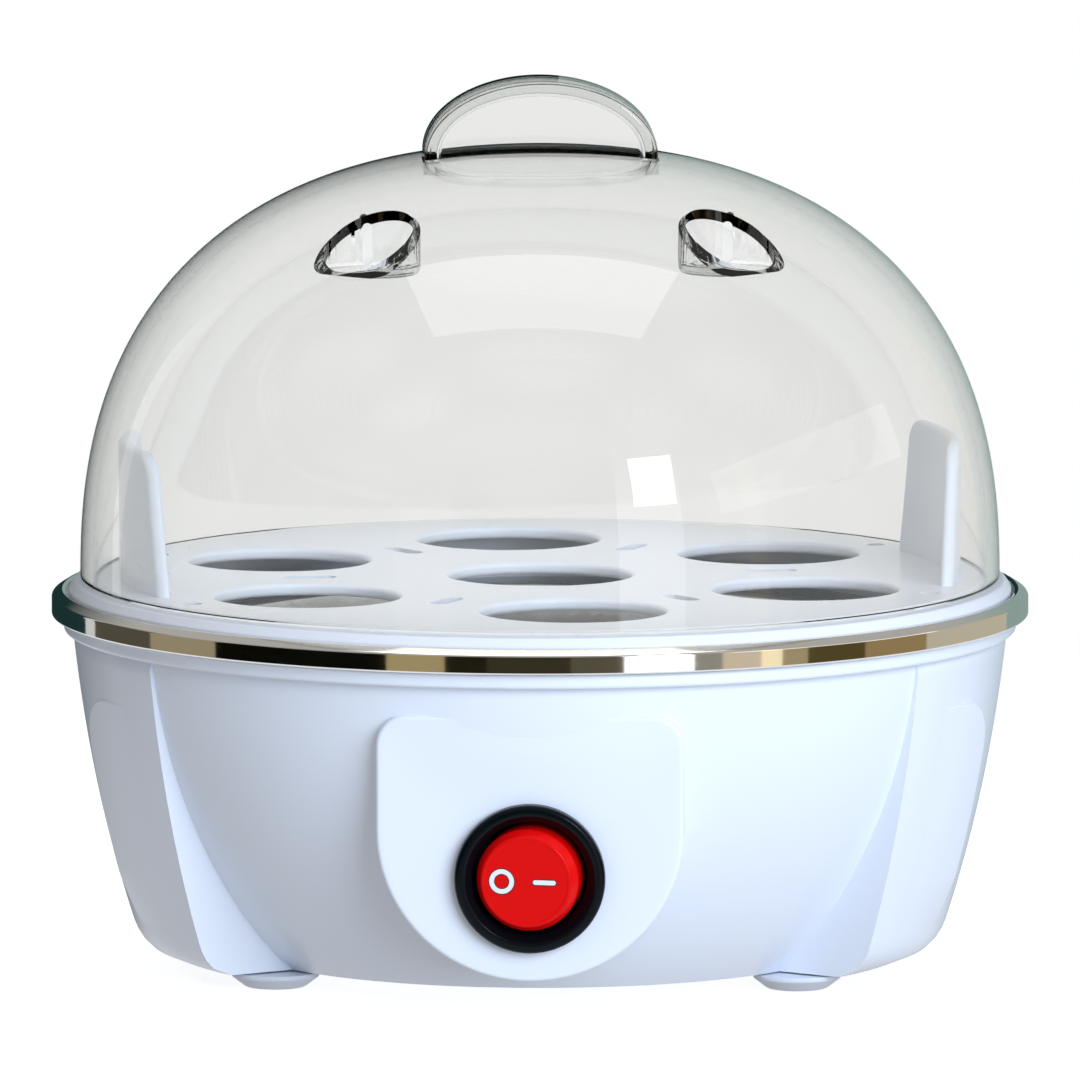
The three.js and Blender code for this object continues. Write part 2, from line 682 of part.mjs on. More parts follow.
piece('switch_housing', switchShell(), BLACK_PLASTIC, switchGroup);

for (const [name, x, front] of TERMINALS) {
  piece(name, block([x - 0.4, -2.4, TERMINAL_END], [x + 0.4, 2.4, front]), BRASS, switchGroup);
}

// The rocker turns about the y axis of the panel's frame
const rockerGroup = new THREE.Group();
rockerGroup.rotation.y = rad(-ROCKER_TILT);
switchGroup.add(rockerGroup);

function rocker() {
  const cap = turned([
    [0, ROCKER_FRONT - 1.6], [ROCKER_RADIUS - 1.6, ROCKER_FRONT - 1.6], [ROCKER_RADIUS - 1.6, -4],
    [ROCKER_RADIUS, -4], [ROCKER_RADIUS, ROCKER_FRONT - 1.4],
    [ROCKER_RADIUS - 0.5, ROCKER_FRONT - 0.4], [ROCKER_RADIUS - 1.4, ROCKER_FRONT], [0, ROCKER_FRONT],
  ], 24);
  const guide = without(solid(bar(2.3, -7, ROCKER_FRONT - 1)), solid(bar(1.5, -8, -1, 12)));
  const studs = [[-9.9, 1.5 - ROCKER_RADIUS], [ROCKER_RADIUS - 1.5, 9.9]].map(
    ([low, high]) => solid(bar(1, low, high, 8).rotateX(Math.PI / 2)),
  );
  return union(solid(cap), guide, ...studs);
}

piece('switch_rocker', rocker(), RED_PLASTIC, rockerGroup);
piece('rocker_plunger', bar(1.2, -9.2, -2, 10), BRASS, rockerGroup);
const lamp = bar(1.4, -3, 3, 10).rotateX(Math.PI / 2).translate(4.3, 0, -0.5);
piece('rocker_lamp', lamp, LAMP_GLASS, rockerGroup);

const contactGroup = new THREE.Group();
contactGroup.position.z = CONTACT_PIVOT;
contactGroup.rotation.y = rad(CONTACT_TILT);
switchGroup.add(contactGroup);
piece('switch_contact', block([-6.6, -2, -0.4], [6.6, 2, 0.4]), BRASS, contactGroup);

// ---------------------------------------------------------------------------------------
// Internal leads
// ---------------------------------------------------------------------------------------

const LEAD_RADIUS = 0.9;
const CRIMP_X = 7;
const CRIMP_FRONT = 34;
const CRIMP_BACK = 46;
const CRIMP_HEIGHT = 12;

for (const [name, side] of [['crimp_cap_live', -1], ['crimp_cap_neutral', 1]]) {
  const cap = acrossBar(3.4, CRIMP_FRONT, CRIMP_BACK, CRIMP_HEIGHT, 12);
  piece(name, cap.translate(side * CRIMP_X, 0, 0), SILICONE, cooker);
}

// Where a lead meets a switch terminal, just behind the terminal's tail
function terminalTail(x) {
  const reach = -TERMINAL_END + GAP;
  const y = -PANEL_FRONT + reach * Math.cos(rad(PANEL_LEAN));
  return [x, y, SWITCH_HEIGHT + reach * Math.sin(rad(PANEL_LEAN))];
}

// A point beyond the tip of an element pin, along the pin
function beyondPin(side, distance) {
  const reach = PIN_LENGTH + distance;
  const x = elementEnd[0] - reach * Math.cos(Math.PI - pinAngle);
  return [side * x, elementEnd[1] + reach * Math.sin(pinAngle), ELEMENT_LEVEL];
}

// The last two points of a lead that runs straight into the mouth of a crimp cap
function intoCrimp(x) {
  return [[x, CRIMP_FRONT - 4, CRIMP_HEIGHT], [x, CRIMP_FRONT - GAP, CRIMP_HEIGHT]];
}

const tabEnd = THERMOSTAT_BOTTOM - TAB_DROP - GAP;
const leads = {
  lead_live: [
    terminalTail(-TERMINAL_PITCH), [-8, -36, 23.2], [-20, -18, 14], [-22, 10, 12],
    ...intoCrimp(-CRIMP_X),
  ],
  lead_switched: [
    terminalTail(0), [0, -36, 23.2], [-3, -20, 15], [-TAB_X, -3, 16], [-TAB_X, 0, tabEnd - 3],
    [-TAB_X, 0, tabEnd],
  ],
  lead_lamp_neutral: [
    terminalTail(TERMINAL_PITCH), [8, -36, 23.2], [20, -18, 14], [22, 10, 12],
    ...intoCrimp(CRIMP_X + 1.7),
  ],
  lead_heater: [
    [TAB_X, 0, tabEnd], [TAB_X, 0, tabEnd - 3], [16, 10, 18], [20, 24, 22], [12, 34, 30],
    [3.5, 34, 37.5],
    beyondPin(1, 4), beyondPin(1, 2 * GAP),
  ],
  lead_fuse_out: [
    beyondPin(-1, 2 * GAP), beyondPin(-1, 4), [-5, 34, 37], [-14, 30, 33],
    [-FUSE_HALF_LENGTH - 3, FUSE_PLACE[1], FUSE_PLACE[2]],
    [-FUSE_HALF_LENGTH - GAP, FUSE_PLACE[1], FUSE_PLACE[2]],
  ],
  lead_fuse_in: [
    [FUSE_HALF_LENGTH + GAP, FUSE_PLACE[1], FUSE_PLACE[2]],
    [FUSE_HALF_LENGTH + 3, FUSE_PLACE[1], FUSE_PLACE[2]], [10, 22, 22],
    ...intoCrimp(CRIMP_X - 1.7),
  ],
};
for (const [name, points] of Object.entries(leads)) {
  piece(name, rod(points, LEAD_RADIUS, 10, 3), LEAD_SLEEVE, cooker);
}

// ---------------------------------------------------------------------------------------
// Underside: cover, screws and feet
// ---------------------------------------------------------------------------------------

function bottomCover() {
  const middle = solid(bar(COVER_RADIUS, COVER_BOTTOM, COVER_TOP, ROUND));
  const wings = solid(bar(COVER_LEG_RADIUS, COVER_BOTTOM, COVER_TOP, ROUND))
    .intersect(legSectors(LEG_WALL + 0.4));
  const holes = coverScrewPlaces().map((azimuth) => {
    return solid(bar(COVER_HOLE, 0, 20, 8).translate(...around(azimuth, COVER_SCREW_CIRCLE)));
  });
  return without(union(middle, wings), ...holes);
}

piece('bottom_cover', bottomCover(), WHITE_PLASTIC, cooker);

coverScrewPlaces().forEach((azimuth, index) => {
  const fastener = screw(2.9, 1.4, COVER_BOTTOM - GAP, 11);
  const place = around(azimuth, COVER_SCREW_CIRCLE);
  piece(`cover_screw_${index + 1}`, fastener.translate(...place), ZINC_STEEL, cooker);
});

const footPlaces = [FOOT_AZIMUTH, 180 - FOOT_AZIMUTH, FOOT_AZIMUTH - 180, -FOOT_AZIMUTH];
footPlaces.forEach((azimuth, index) => {
  const foot = turned([
    [0, 0], [FOOT_RADIUS - 2, 0], [FOOT_RADIUS - 0.7, 0.8], [FOOT_RADIUS, FOOT_HEIGHT],
    [0, FOOT_HEIGHT],
  ], 16);
  piece(`foot_${index + 1}`, foot.translate(...around(azimuth, FOOT_CIRCLE)), SILICONE, cooker);
});

export default cooker;
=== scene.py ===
"""The looks of an egg cooker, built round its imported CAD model.

Shapes are written in millimetres in the CAD model's frame: +Z up, the switch panel towards -Y, the
origin on the table. new_piece turns them into metres. An azimuth is counted in degrees from the
front (-Y) towards +X.
"""

from math import acos, asin, cos, degrees, pi, radians, sin, sqrt, tan

import bmesh
import bpy
from mathutils import Matrix, Vector
from mathutils.bvhtree import BVHTree
from mathutils.geometry import barycentric_transform, closest_point_on_tri


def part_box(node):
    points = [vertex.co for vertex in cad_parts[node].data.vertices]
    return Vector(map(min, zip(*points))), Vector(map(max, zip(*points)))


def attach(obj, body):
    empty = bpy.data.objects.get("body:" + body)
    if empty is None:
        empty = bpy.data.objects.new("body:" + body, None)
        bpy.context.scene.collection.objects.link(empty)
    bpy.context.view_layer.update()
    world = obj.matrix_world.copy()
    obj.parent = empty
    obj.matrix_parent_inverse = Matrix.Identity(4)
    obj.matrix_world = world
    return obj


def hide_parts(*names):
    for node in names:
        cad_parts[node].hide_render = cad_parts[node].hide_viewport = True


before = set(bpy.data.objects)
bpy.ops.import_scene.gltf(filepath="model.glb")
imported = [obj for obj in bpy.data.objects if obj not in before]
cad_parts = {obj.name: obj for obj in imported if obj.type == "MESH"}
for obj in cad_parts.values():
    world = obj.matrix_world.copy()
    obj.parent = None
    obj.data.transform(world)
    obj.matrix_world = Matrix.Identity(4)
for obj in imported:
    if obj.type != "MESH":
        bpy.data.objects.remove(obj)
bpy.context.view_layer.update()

MM = 0.001
ROUND = 192  # facets of the large turned pieces
MEDIUM = 96
SMALL = 48


def corners_mm(node):
    """Lowest and highest corner of a CAD node, in millimetres."""
    low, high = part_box(node)
    return low / MM, high / MM


def reach_mm(node):
    """Largest distance of a CAD node from the Z axis, in millimetres."""
    return max(v.co.xy.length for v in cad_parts[node].data.vertices) / MM


# ---- Driving dimensions, in millimetres ----

BODY_BOTTOM = corners_mm("base_housing")[0].z
NECK_TOP = corners_mm("base_housing")[1].z
RING_RADIUS = reach_mm("trim_ring")
RING_BOTTOM, RING_TOP = (corner.z for corner in corners_mm("trim_ring"))
TRAY_RADIUS = reach_mm("egg_tray")
LID_RADIUS = reach_mm("lid")
LID_BOTTOM = corners_mm("lid")[0].z
LID_TOP = corners_mm("lid")[1].z
PAN_RADIUS = reach_mm("heating_pan")
PAN_BOTTOM, PAN_TOP = (corner.z for corner in corners_mm("heating_pan"))

BODY_TOP = 55.6
BEAD_RADIUS = 78
BEAD_TOP = 57.9
NECK_RADIUS = 76.9
NECK_BORE = 75
SHELF_BORE = 63.5
SHELF_BOTTOM = 50.4
SHELF_TOP = 52.9
BOWL_WALL = 2.8
LEG_WALL = 2.4
LEG_HALF_ANGLE = 35
COLUMN_STEP = 1.25  # degrees between the shell's columns
PAD_START = 29  # degrees from a leg's middle
PAD_END = 14.5
PAD_RISE = 1.3
PAD_TOP = 47
PAD_BOTTOM = 8
PAD_CORNER = 9
PAD_SWEEP = 1.3  # how late across the pad its rise comes
PAD_SINK = 0.06  # depth of its flush edges under the leg's skin
PAD_EDGE = 0.3
EDGE = 0.5  # bevel of the shell's crisp edges

PANEL_LEAN = radians(4)
SWITCH_CENTRE = Vector((0, -71.5, 24.1))
PANEL_HALF_WIDTH = 25
PANEL_ROUND_CENTRE = 7.6
PANEL_TOP = 26.6
PANEL_CORNER = 5
PANEL_DEPTH = 26
PANEL_FILLET = 0.7
PANEL_WALL = 2.2
MERGE_REACH = 3.2  # gap between face and bowl at which they start to blend
MERGE_RUN = 7  # length below the panel's top over which its face dips under the bowl
MERGE_DIP = 0.45
SWITCH_HOLE = 10.45

TRAY_TURN = radians(7.8)
TRAY_TOP = 64.6
SEAT_RADIUS = 15
SEAT_CIRCLE = 47
STEAM_SLOT_CIRCLE = 38
STEAM_SLOT = (9, 3.2)  # length and width
DRAIN_SLOT = (3.2, 2.8)
POST_RADIUS = 67.8
POST_THICKNESS = 2.2
POST_TOP = corners_mm("egg_tray")[1].z
POST_FOOT_HALF = 24
POST_TOP_HALF = 20.4
POST_CORNER = 5

LID_TURN = radians(3.7)
LID_HEIGHT = 70.4
LID_POWER = 2.4
LID_WALL = 2
GRIP_HALF_WIDTH = 19.1
GRIP_LEVEL = 134.1
GRIP_RISE = LID_TOP - GRIP_LEVEL
GRIP_DEPTH = 12
VENT_RADIUS = 7.3
VENT_CIRCLE = 46.4
VENT_AZIMUTH = 39.2
VENT_FLOOR = 119.1
VENT_WALL = 1.3
VENT_SLOT_WIDTH = 1.7
VENT_SLOT_TOP = 125.9

BEZEL_RADIUS = 12.25
BEZEL_HEIGHT = 2.6
BARREL_RADIUS = 10.1
BARREL_BORE = 9.2
BARREL_BACK = -20
BARREL_FLOOR = -16
ROCKER_RADIUS = 8.4
ROCKER_FRONT = 4.2
ROCKER_TILT = radians(8)

OUTLET_HEIGHT = 14.5
OUTLET_FACE = 65
OUTLET_BOSS_RADIUS = 8
OUTLET_BORE = 5.2
CORD_BORE = 3.25

FOOT_HEIGHT = corners_mm("foot_1")[1].z
FOOT_RADIUS = 7.2


# ---- Materials ----

def new_material(name, colour, roughness, metallic=0.0):
    """A material with one Principled shader; the other nodes are added by the finishes below."""
    made = bpy.data.materials.new(name)
    made.use_nodes = True
    shader = made.node_tree.nodes["Principled BSDF"]
    set_inputs(shader, Base_Color=(*colour, 1), Roughness=roughness, Metallic=metallic)
    return made, shader


def add_node(made, kind, **settings):
    node = made.node_tree.nodes.new(kind)
    for key, value in settings.items():
        if isinstance(value, (int, float, tuple)) and key[0].isupper():
            node.inputs[key.replace("_", " ")].default_value = value
        else:
            setattr(node, key, value)
    return node


def set_inputs(shader, **values):
    for key, value in values.items():
        shader.inputs[key.replace("_", " ")].default_value = value


def link(made, source, target):
    made.node_tree.links.new(source, target)


def noise(made, scale, detail=3.0, stretch=(1, 1, 1)):
    """Noise in the object's own metres, stretched along its axes."""
    place = add_node(made, "ShaderNodeTexCoord")
    mapping = add_node(made, "ShaderNodeMapping", Scale=tuple(stretch))
    link(made, place.outputs["Object"], mapping.inputs["Vector"])
    texture = add_node(made, "ShaderNodeTexNoise", Scale=scale, Detail=detail)
    link(made, mapping.outputs["Vector"], texture.inputs["Vector"])
    return texture.outputs["Fac"]


def vary_roughness(made, shader, pattern, low, high):
    spread = add_node(made, "ShaderNodeMapRange", From_Min=0.1, From_Max=0.9, To_Min=low, To_Max=high)
    link(made, pattern, spread.inputs["Value"])
    link(made, spread.outputs["Result"], shader.inputs["Roughness"])


def vary_colour(made, shader, pattern, first, second):
    mix = add_node(made, "ShaderNodeMix", data_type="RGBA")
    set_inputs(mix, A=(*first, 1), B=(*second, 1))
    link(made, pattern, mix.inputs["Factor"])
    link(made, mix.outputs["Result"], shader.inputs["Base Color"])


def add_bump(made, shader, pattern, depth_mm, strength=1.0):
    bump = add_node(made, "ShaderNodeBump", Strength=strength, Distance=depth_mm * MM)
    link(made, pattern, bump.inputs["Height"])
    link(made, bump.outputs["Normal"], shader.inputs["Normal"])


def darker(colour, share):
    return tuple(channel * share for channel in colour)


def moulded(name, colour, roughness, gloss=0.5):
    """Injection-moulded plastic with a slightly uneven gloss."""
    made, shader = new_material(name, colour, roughness)
    vary_roughness(made, shader, noise(made, 9, 0), roughness - 0.02, roughness + 0.02)
    set_inputs(shader, Specular_IOR_Level=gloss)
    return made


def rubber(name, colour):
    made, shader = new_material(name, colour, 0.6)
    vary_colour(made, shader, noise(made, 60, 3), colour, darker(colour, 0.9))
    vary_roughness(made, shader, noise(made, 240, 4), 0.52, 0.72)
    add_bump(made, shader, noise(made, 1600, 3), 0.02)
    set_inputs(shader, Sheen_Weight=0.08)
    return made


def rolled_metal(name, colour, roughness, stretch=(1, 1, 1), depth=0.002):
    """Sheet metal with fine drawn lines where its noise is stretched."""
    made, shader = new_material(name, colour, roughness, 1.0)
    lines = noise(made, 700, 3, stretch)
    vary_colour(made, shader, noise(made, 45, 3), colour, darker(colour, 0.88))
    vary_roughness(made, shader, lines, roughness - 0.07, roughness + 0.09)
    add_bump(made, shader, lines, depth)
    return made


def spun_metal(name, colour, roughness):
    """Sheet metal polished on a lathe: fine rings about the Z axis."""
    made, shader = new_material(name, colour, roughness, 1.0)
    place = add_node(made, "ShaderNodeTexCoord")
    rings = add_node(made, "ShaderNodeTexWave", wave_type="RINGS", rings_direction="Z",
                     Scale=190.0, Distortion=1.5, Detail=2.0, Detail_Scale=2.0)
    link(made, place.outputs["Object"], rings.inputs["Vector"])
    vary_colour(made, shader, noise(made, 30, 3), colour, darker(colour, 0.9))
    vary_roughness(made, shader, rings.outputs["Fac"], roughness - 0.05, roughness + 0.1)
    add_bump(made, shader, rings.outputs["Fac"], 0.001)
    return made


def chromed(name):
    """Bright plated steel: nearly a mirror, with faint waviness and wiping marks."""
    colour = (0.93, 0.92, 0.89)
    made, shader = new_material(name, colour, 0.05, 1.0)
    vary_colour(made, shader, noise(made, 25, 2), colour, darker(colour, 0.93))
    vary_roughness(made, shader, noise(made, 120, 4, (1, 1, 6)), 0.035, 0.075)
    add_bump(made, shader, noise(made, 45, 1), 0.015)
    return made


def clear_plastic(name):
    """Clear lid plastic, a little smoky where one looks along its wall. Lamps shine through it."""
    made, shader = new_material(name, (0.985, 0.985, 0.98), 0.02)
    set_inputs(shader, Transmission_Weight=1.0, IOR=1.49)
    vary_roughness(made, shader, noise(made, 30, 2), 0.0, 0.015)
    add_bump(made, shader, noise(made, 18, 1), 0.008)
    nodes = made.node_tree.nodes
    output = nodes["Material Output"]
    path = add_node(made, "ShaderNodeLightPath")
    passing = add_node(made, "ShaderNodeBsdfTransparent", Color=(0.93, 0.935, 0.93, 1))
    either = add_node(made, "ShaderNodeMixShader")
    link(made, path.outputs["Is Shadow Ray"], either.inputs[0])
    link(made, shader.outputs[0], either.inputs[1])
    link(made, passing.outputs[0], either.inputs[2])
    link(made, either.outputs[0], output.inputs["Surface"])
    smoke = add_node(made, "ShaderNodeVolumeAbsorption", Color=(0.67, 0.69, 0.665, 1), Density=100.0)
    link(made, smoke.outputs[0], output.inputs["Volume"])
    return made


def lamp_glass(name):
    made, shader = new_material(name, (1.0, 0.72, 0.55), 0.08)
    set_inputs(shader, Transmission_Weight=0.7)
    vary_roughness(made, shader, noise(made, 500, 2), 0.04, 0.14)
    return made


def braided(name):
    """A woven glass sleeve: crossed diagonal ridges, with painted shade in the hollows between them."""
    colour = (0.80, 0.77, 0.69)
    made, shader = new_material(name, colour, 0.65)
    place = add_node(made, "ShaderNodeTexCoord")
    heights = []
    for slant in (1, -1):
        turn = add_node(made, "ShaderNodeMapping", Rotation=(0.6 * slant, 0.7, 0.5 * slant))
        link(made, place.outputs["Object"], turn.inputs["Vector"])
        wave = add_node(made, "ShaderNodeTexWave", Scale=900.0)
        link(made, turn.outputs["Vector"], wave.inputs["Vector"])
        heights.append(wave.outputs["Fac"])
    woven = add_node(made, "ShaderNodeMath", operation="MAXIMUM")
    link(made, heights[0], woven.inputs[0])
    link(made, heights[1], woven.inputs[1])
    # Painted shade: the colour darkens where the woven height is low, in the hollows between the ridges.
    vary_colour(made, shader, woven.outputs[0], darker(colour, 0.75), colour)
    vary_roughness(made, shader, woven.outputs[0], 0.6, 0.75)
    add_bump(made, shader, woven.outputs[0], 0.08)
    return made


WHITE = moulded("white_moulding", (0.80, 0.85, 0.93), 0.26)
TRAY_GREY = moulded("tray_moulding", (0.74, 0.77, 0.84), 0.28)
CLEAR = clear_plastic("clear_moulding")
CHROME = chromed("bright_chrome")
BLACK = moulded("black_moulding", (0.001, 0.003, 0.005), 0.22, gloss=0.15)
RED = moulded("red_moulding", (0.76, 0.003, 0.003), 0.2, gloss=0.12)
MARK = moulded("mark_print", (0.86, 0.86, 0.84), 0.4)
# Near-black red for the hairline round each rocker mark: painted shade standing for a groove.
MARK_GROOVE_SHADE = moulded("mark_groove_painted_shade", (0.05, 0.003, 0.003), 0.5)
STEEL = spun_metal("spun_stainless", (0.72, 0.72, 0.71), 0.24)
TUBE = rolled_metal("tube_stainless", (0.50, 0.47, 0.44), 0.32)
ALUMINIUM = spun_metal("turned_aluminium", (0.60, 0.61, 0.62), 0.36)
ZINC = rolled_metal("zinc_plate", (0.55, 0.56, 0.58), 0.34, (1, 1, 8))
BRASS = rolled_metal("drawn_brass", (0.66, 0.50, 0.24), 0.3, (1, 6, 1))
GREY_RUBBER = rubber("grey_silicone", (0.72, 0.76, 0.84))
CERAMIC = moulded("glazed_ceramic", (0.76, 0.73, 0.64), 0.42)
LAMP = lamp_glass("lamp_envelope")
SLEEVE = braided("glass_braid")


# ---- Shape helpers ----

def around(azimuth, distance, height=0.0):
    """The point at an azimuth in degrees and a distance from the Z axis."""
    angle = radians(azimuth)
    return Vector((distance * sin(angle), -distance * cos(angle), height))


def sweep(turn, steps):
    """Evenly spaced angles from nothing to a turn."""
    return [turn * step / steps for step in range(steps + 1)]


def rounded(corners, steps=5):
    """A closed outline in which each (x, y, radius) corner is an arc and each (x, y) stays sharp."""
    points = []
    for index, (x, y, *radius) in enumerate(corners):
        here = Vector((x, y))
        if not radius:
            points.append(here)
            continue
        before = (Vector(corners[index - 1][:2]) - here).normalized()
        after = (Vector(corners[(index + 1) % len(corners)][:2]) - here).normalized()
        half = acos(max(-1.0, min(1.0, before.dot(after)))) / 2
        centre = here + (before + after).normalized() * radius[0] / sin(half)
        arm = here + before * radius[0] / tan(half) - centre
        turn = (pi - 2 * half) * (1 if before.x * after.y - before.y * after.x < 0 else -1)
        for step in range(steps + 1):
            points.append(centre + Matrix.Rotation(turn * step / steps, 2) @ arm)
    return points


def new_piece(name, points, faces, sharp=32, weigh=True):
    """A mesh object from points in millimetres.

    Edges that turn more than sharp degrees stay crisp; weigh keeps large flat faces flat.
    """
    mesh = bpy.data.meshes.new(name)
    mesh.from_pydata([Vector(point) * MM for point in points], [], faces)
    shape = bmesh.new()
    shape.from_mesh(mesh)
    bmesh.ops.remove_doubles(shape, verts=shape.verts, dist=1e-7)
    bmesh.ops.recalc_face_normals(shape, faces=shape.faces)
    shape.to_mesh(mesh)
    shape.free()
    smooth(mesh, sharp)
    piece = bpy.data.objects.new(name, mesh)
    bpy.context.scene.collection.objects.link(piece)
    if weigh:
        piece.modifiers.new("weigh", "WEIGHTED_NORMAL").keep_sharp = True
        finished_mesh(piece)
    return piece


def smooth(mesh, sharp=32):
    mesh.shade_smooth()
    mesh.set_sharp_from_angle(angle=radians(sharp))


def turned(name, outline, facets=ROUND, sharp=32):
    """A closed outline of (distance, height) points turned about the Z axis."""
    points, rows = [], []
    for distance, height in outline:
        if abs(distance) < 1e-6:
            rows.append([len(points)] * facets)
            points.append((0, 0, height))
        else:
            rows.append(range(len(points), len(points) + facets))
            points += [around(360 * step / facets, distance, height) for step in range(facets)]
    faces = []
    for low, high in zip(rows, rows[1:] + rows[:1]):
        for step in range(facets):
            after = (step + 1) % facets
            corners = (low[step], low[after], high[after], high[step])
            face = list(dict.fromkeys(corners))
            if len(face) > 2:
                faces.append(face)
    return new_piece(name, points, faces, sharp)


def lofted(name, sections, sharp=32, looped=False, weigh=True):
    """Rings of points joined one to the next, and closed at both ends or into a loop."""
    size = len(sections[0])
    points = [point for section in sections for point in section]
    faces = []
    count = len(sections)
    for ring in range(count if looped else count - 1):
        low, high = ring * size, (ring + 1) % count * size
        for step in range(size):
            after = (step + 1) % size
            faces.append((low + step, low + after, high + after, high + step))
    if not looped:
        faces += [tuple(range(size)), tuple(range((count - 1) * size, count * size))]
    return new_piece(name, points, faces, sharp, weigh)


def eased(low, high, radius, steps=4):
    """(height, inset) pairs that round both rims of a slab between two heights."""
    arcs = [(radius * sin(a), radius * (1 - cos(a)))
            for a in sweep(pi / 2, steps)]
    bottom = [(low + radius - up, back) for up, back in reversed(arcs)]
    top = [(high - radius + up, back) for up, back in arcs]
    return bottom + top


def slab(name, outline, low, high, radius=0.0, sharp=32):
    """An outline, a function of its inset, extruded along Z with rounded rims."""
    levels = eased(low, high, radius) if radius else [(low, 0), (high, 0)]
    sections = [[(*point, height) for point in outline(inset)] for height, inset in levels]
    return lofted(name, sections, sharp)


def moved(piece, matrix):
    """Moves a piece's mesh by a matrix in millimetres, and leaves its object at the origin."""
    matrix = matrix.copy()
    matrix.translation *= MM
    piece.data.transform(matrix)
    return piece


def about_z(angle):
    return Matrix.Rotation(angle, 4, "Z")


def finished_mesh(piece):
    """Applies a piece's modifiers."""
    graph = bpy.context.evaluated_depsgraph_get()
    mesh = bpy.data.meshes.new_from_object(piece.evaluated_get(graph))
    piece.modifiers.clear()
    piece.data = mesh
    return piece


def bevelled(piece, width, angle=35, segments=3):
    bevel = piece.modifiers.new("edge", "BEVEL")
    bevel.width = width * MM
    bevel.segments = segments
    bevel.limit_method = "ANGLE"
    bevel.angle_limit = radians(angle)
    bevel.harden_normals = True
    return finished_mesh(piece)


def skin(piece):
    """A mesh's triangles with their corner normals, kept to shade what is cut from them."""
    mesh = piece.data
    mesh.calc_loop_triangles()
    points = [vertex.co.copy() for vertex in mesh.vertices]
    smooth_normals = [normal.vector.copy() for normal in mesh.corner_normals]
    triangles = [tuple(triangle.vertices) for triangle in mesh.loop_triangles]
    normals = [[smooth_normals[loop] for loop in triangle.loops] for triangle in mesh.loop_triangles]
    return BVHTree.FromPolygons(points, triangles), points, triangles, normals


SKIN_REACH = 2e-5  # metres from a cut face to the surface it came from
PROBE_SHARE = 0.03  # how far the probe stands from a corner towards its face's middle
SAME_PLANE = 0.95  # least cosine between a cut face and its source
SMOOTH_LIMIT = 0.6  # least cosine between a face and its smooth normal


def shaded_like(piece, skins):
    """Gives a joined or cut mesh the smooth normals of the surfaces it was made from."""
    mesh = piece.data
    result = [normal.vector.copy() for normal in mesh.corner_normals]
    for face in mesh.polygons:
        for loop in face.loop_indices:
            corner = mesh.vertices[mesh.loops[loop].vertex_index].co
            probe = corner.lerp(face.center, PROBE_SHARE)
            for tree, points, triangles, normals in skins:
                spot, facing, index, _ = tree.find_nearest(probe, SKIN_REACH)
                if spot is None or abs(facing.dot(face.normal)) < SAME_PLANE:
                    continue
                flat = [points[i] for i in triangles[index]]
                inside = closest_point_on_tri(corner, *flat)
                normal = barycentric_transform(inside, *flat, *normals[index]).normalized()
                normal *= 1 if normal.dot(face.normal) > 0 else -1
                if normal.dot(face.normal) > SMOOTH_LIMIT:
                    result[loop] = normal
                break
    mesh.normals_split_custom_set(result)
    return piece


def add_boolean(piece, operation, tool):
    modifier = piece.modifiers.new("step", "BOOLEAN")
    modifier.operation = operation
    modifier.object = tool
    modifier.solver = "EXACT"


def combined(piece, *steps):
    """Joins and cuts a piece by (operation, tool) steps, keeps every surface's shading, and drops
    the tools."""
    skins = [skin(piece)] + [skin(tool) for _, tool in steps]
    for operation, tool in steps:
        add_boolean(piece, operation, tool)
    finished_mesh(piece)
    for _, tool in steps:
        bpy.data.objects.remove(tool)
    smooth(piece.data)
    return shaded_like(piece, skins)


def finish_piece(piece, body, material, slot, *nodes):
    """Paints a piece, sets it on its body and hides the CAD nodes it stands for."""
    piece.data.materials.clear()
    for each in (material if isinstance(material, list) else [material]):
        piece.data.materials.append(each)
    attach(piece, body)
    if nodes:
        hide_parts(*nodes)
    return piece


# ---- Base housing ----

def bezier(points, share):
    """A point on the Bezier curve through control points, by repeated blending."""
    row = [Vector(point) for point in points]
    while len(row) > 1:
        row = [first.lerp(second, share) for first, second in zip(row, row[1:])]
    return row[0]


BOWL_CURVE = [(48.6, BODY_BOTTOM), (62.5, 14), (74, 36), (75.8, BODY_TOP)]
HEEL_CURVE = [(60.5, BODY_BOTTOM), (65, 3.5), (66.6, 8)]
SHIN_CURVE = [(66.6, 8), (73.8, 30), (76.5, BODY_TOP)]


def radius_table(*curves):
    """Finely spaced (height, radius) points along curves laid end to end."""
    steps = 60
    spots = [bezier(curve, step / steps) for curve in curves for step in range(steps + 1)]
    return [(spot.y, spot.x) for spot in spots]


BOWL_TABLE = radius_table(BOWL_CURVE)
LEG_TABLE = radius_table(HEEL_CURVE, SHIN_CURVE)


def radius_at(table, height):
    if height <= table[0][0]:
        return table[0][1]
    for (low, near), (high, far) in zip(table, table[1:]):
        if low <= height <= high and high > low:
            return near + (far - near) * (height - low) / (high - low)
    return table[-1][1]


def bowl_radius(height):
    return radius_at(BOWL_TABLE, height)


def leg_radius(height):
    """The leg's side edges run out into the bowl at the very top, under the bead."""
    return radius_at(LEG_TABLE, height) if height < BODY_TOP else bowl_radius(height)


def shell_heights():
    """Heights of the shell's rows."""
    rows = 40
    return [BODY_BOTTOM + (BODY_TOP - BODY_BOTTOM) * step / rows for step in range(rows + 1)]


def outer_profile(radius):
    """The outside of the shell from the foot up: wall, bead, neck, well and shelf."""
    rim = rounded([
        (BEAD_RADIUS, BODY_TOP + 0.15, 0.7), (BEAD_RADIUS, BEAD_TOP, 0.7), (NECK_RADIUS, BEAD_TOP, 0.2),
        (NECK_RADIUS, NECK_TOP, 0.5), (NECK_BORE, NECK_TOP, 0.5), (NECK_BORE, BEAD_TOP - 0.4, 2),
        (72.6, BODY_TOP, 2), (72.2, SHELF_TOP, 0.6), (SHELF_BORE, SHELF_TOP, 0.4),
        (SHELF_BORE, SHELF_BOTTOM, 0.4),
    ])
    return [(radius(height), height) for height in shell_heights()] + [tuple(point) for point in rim]


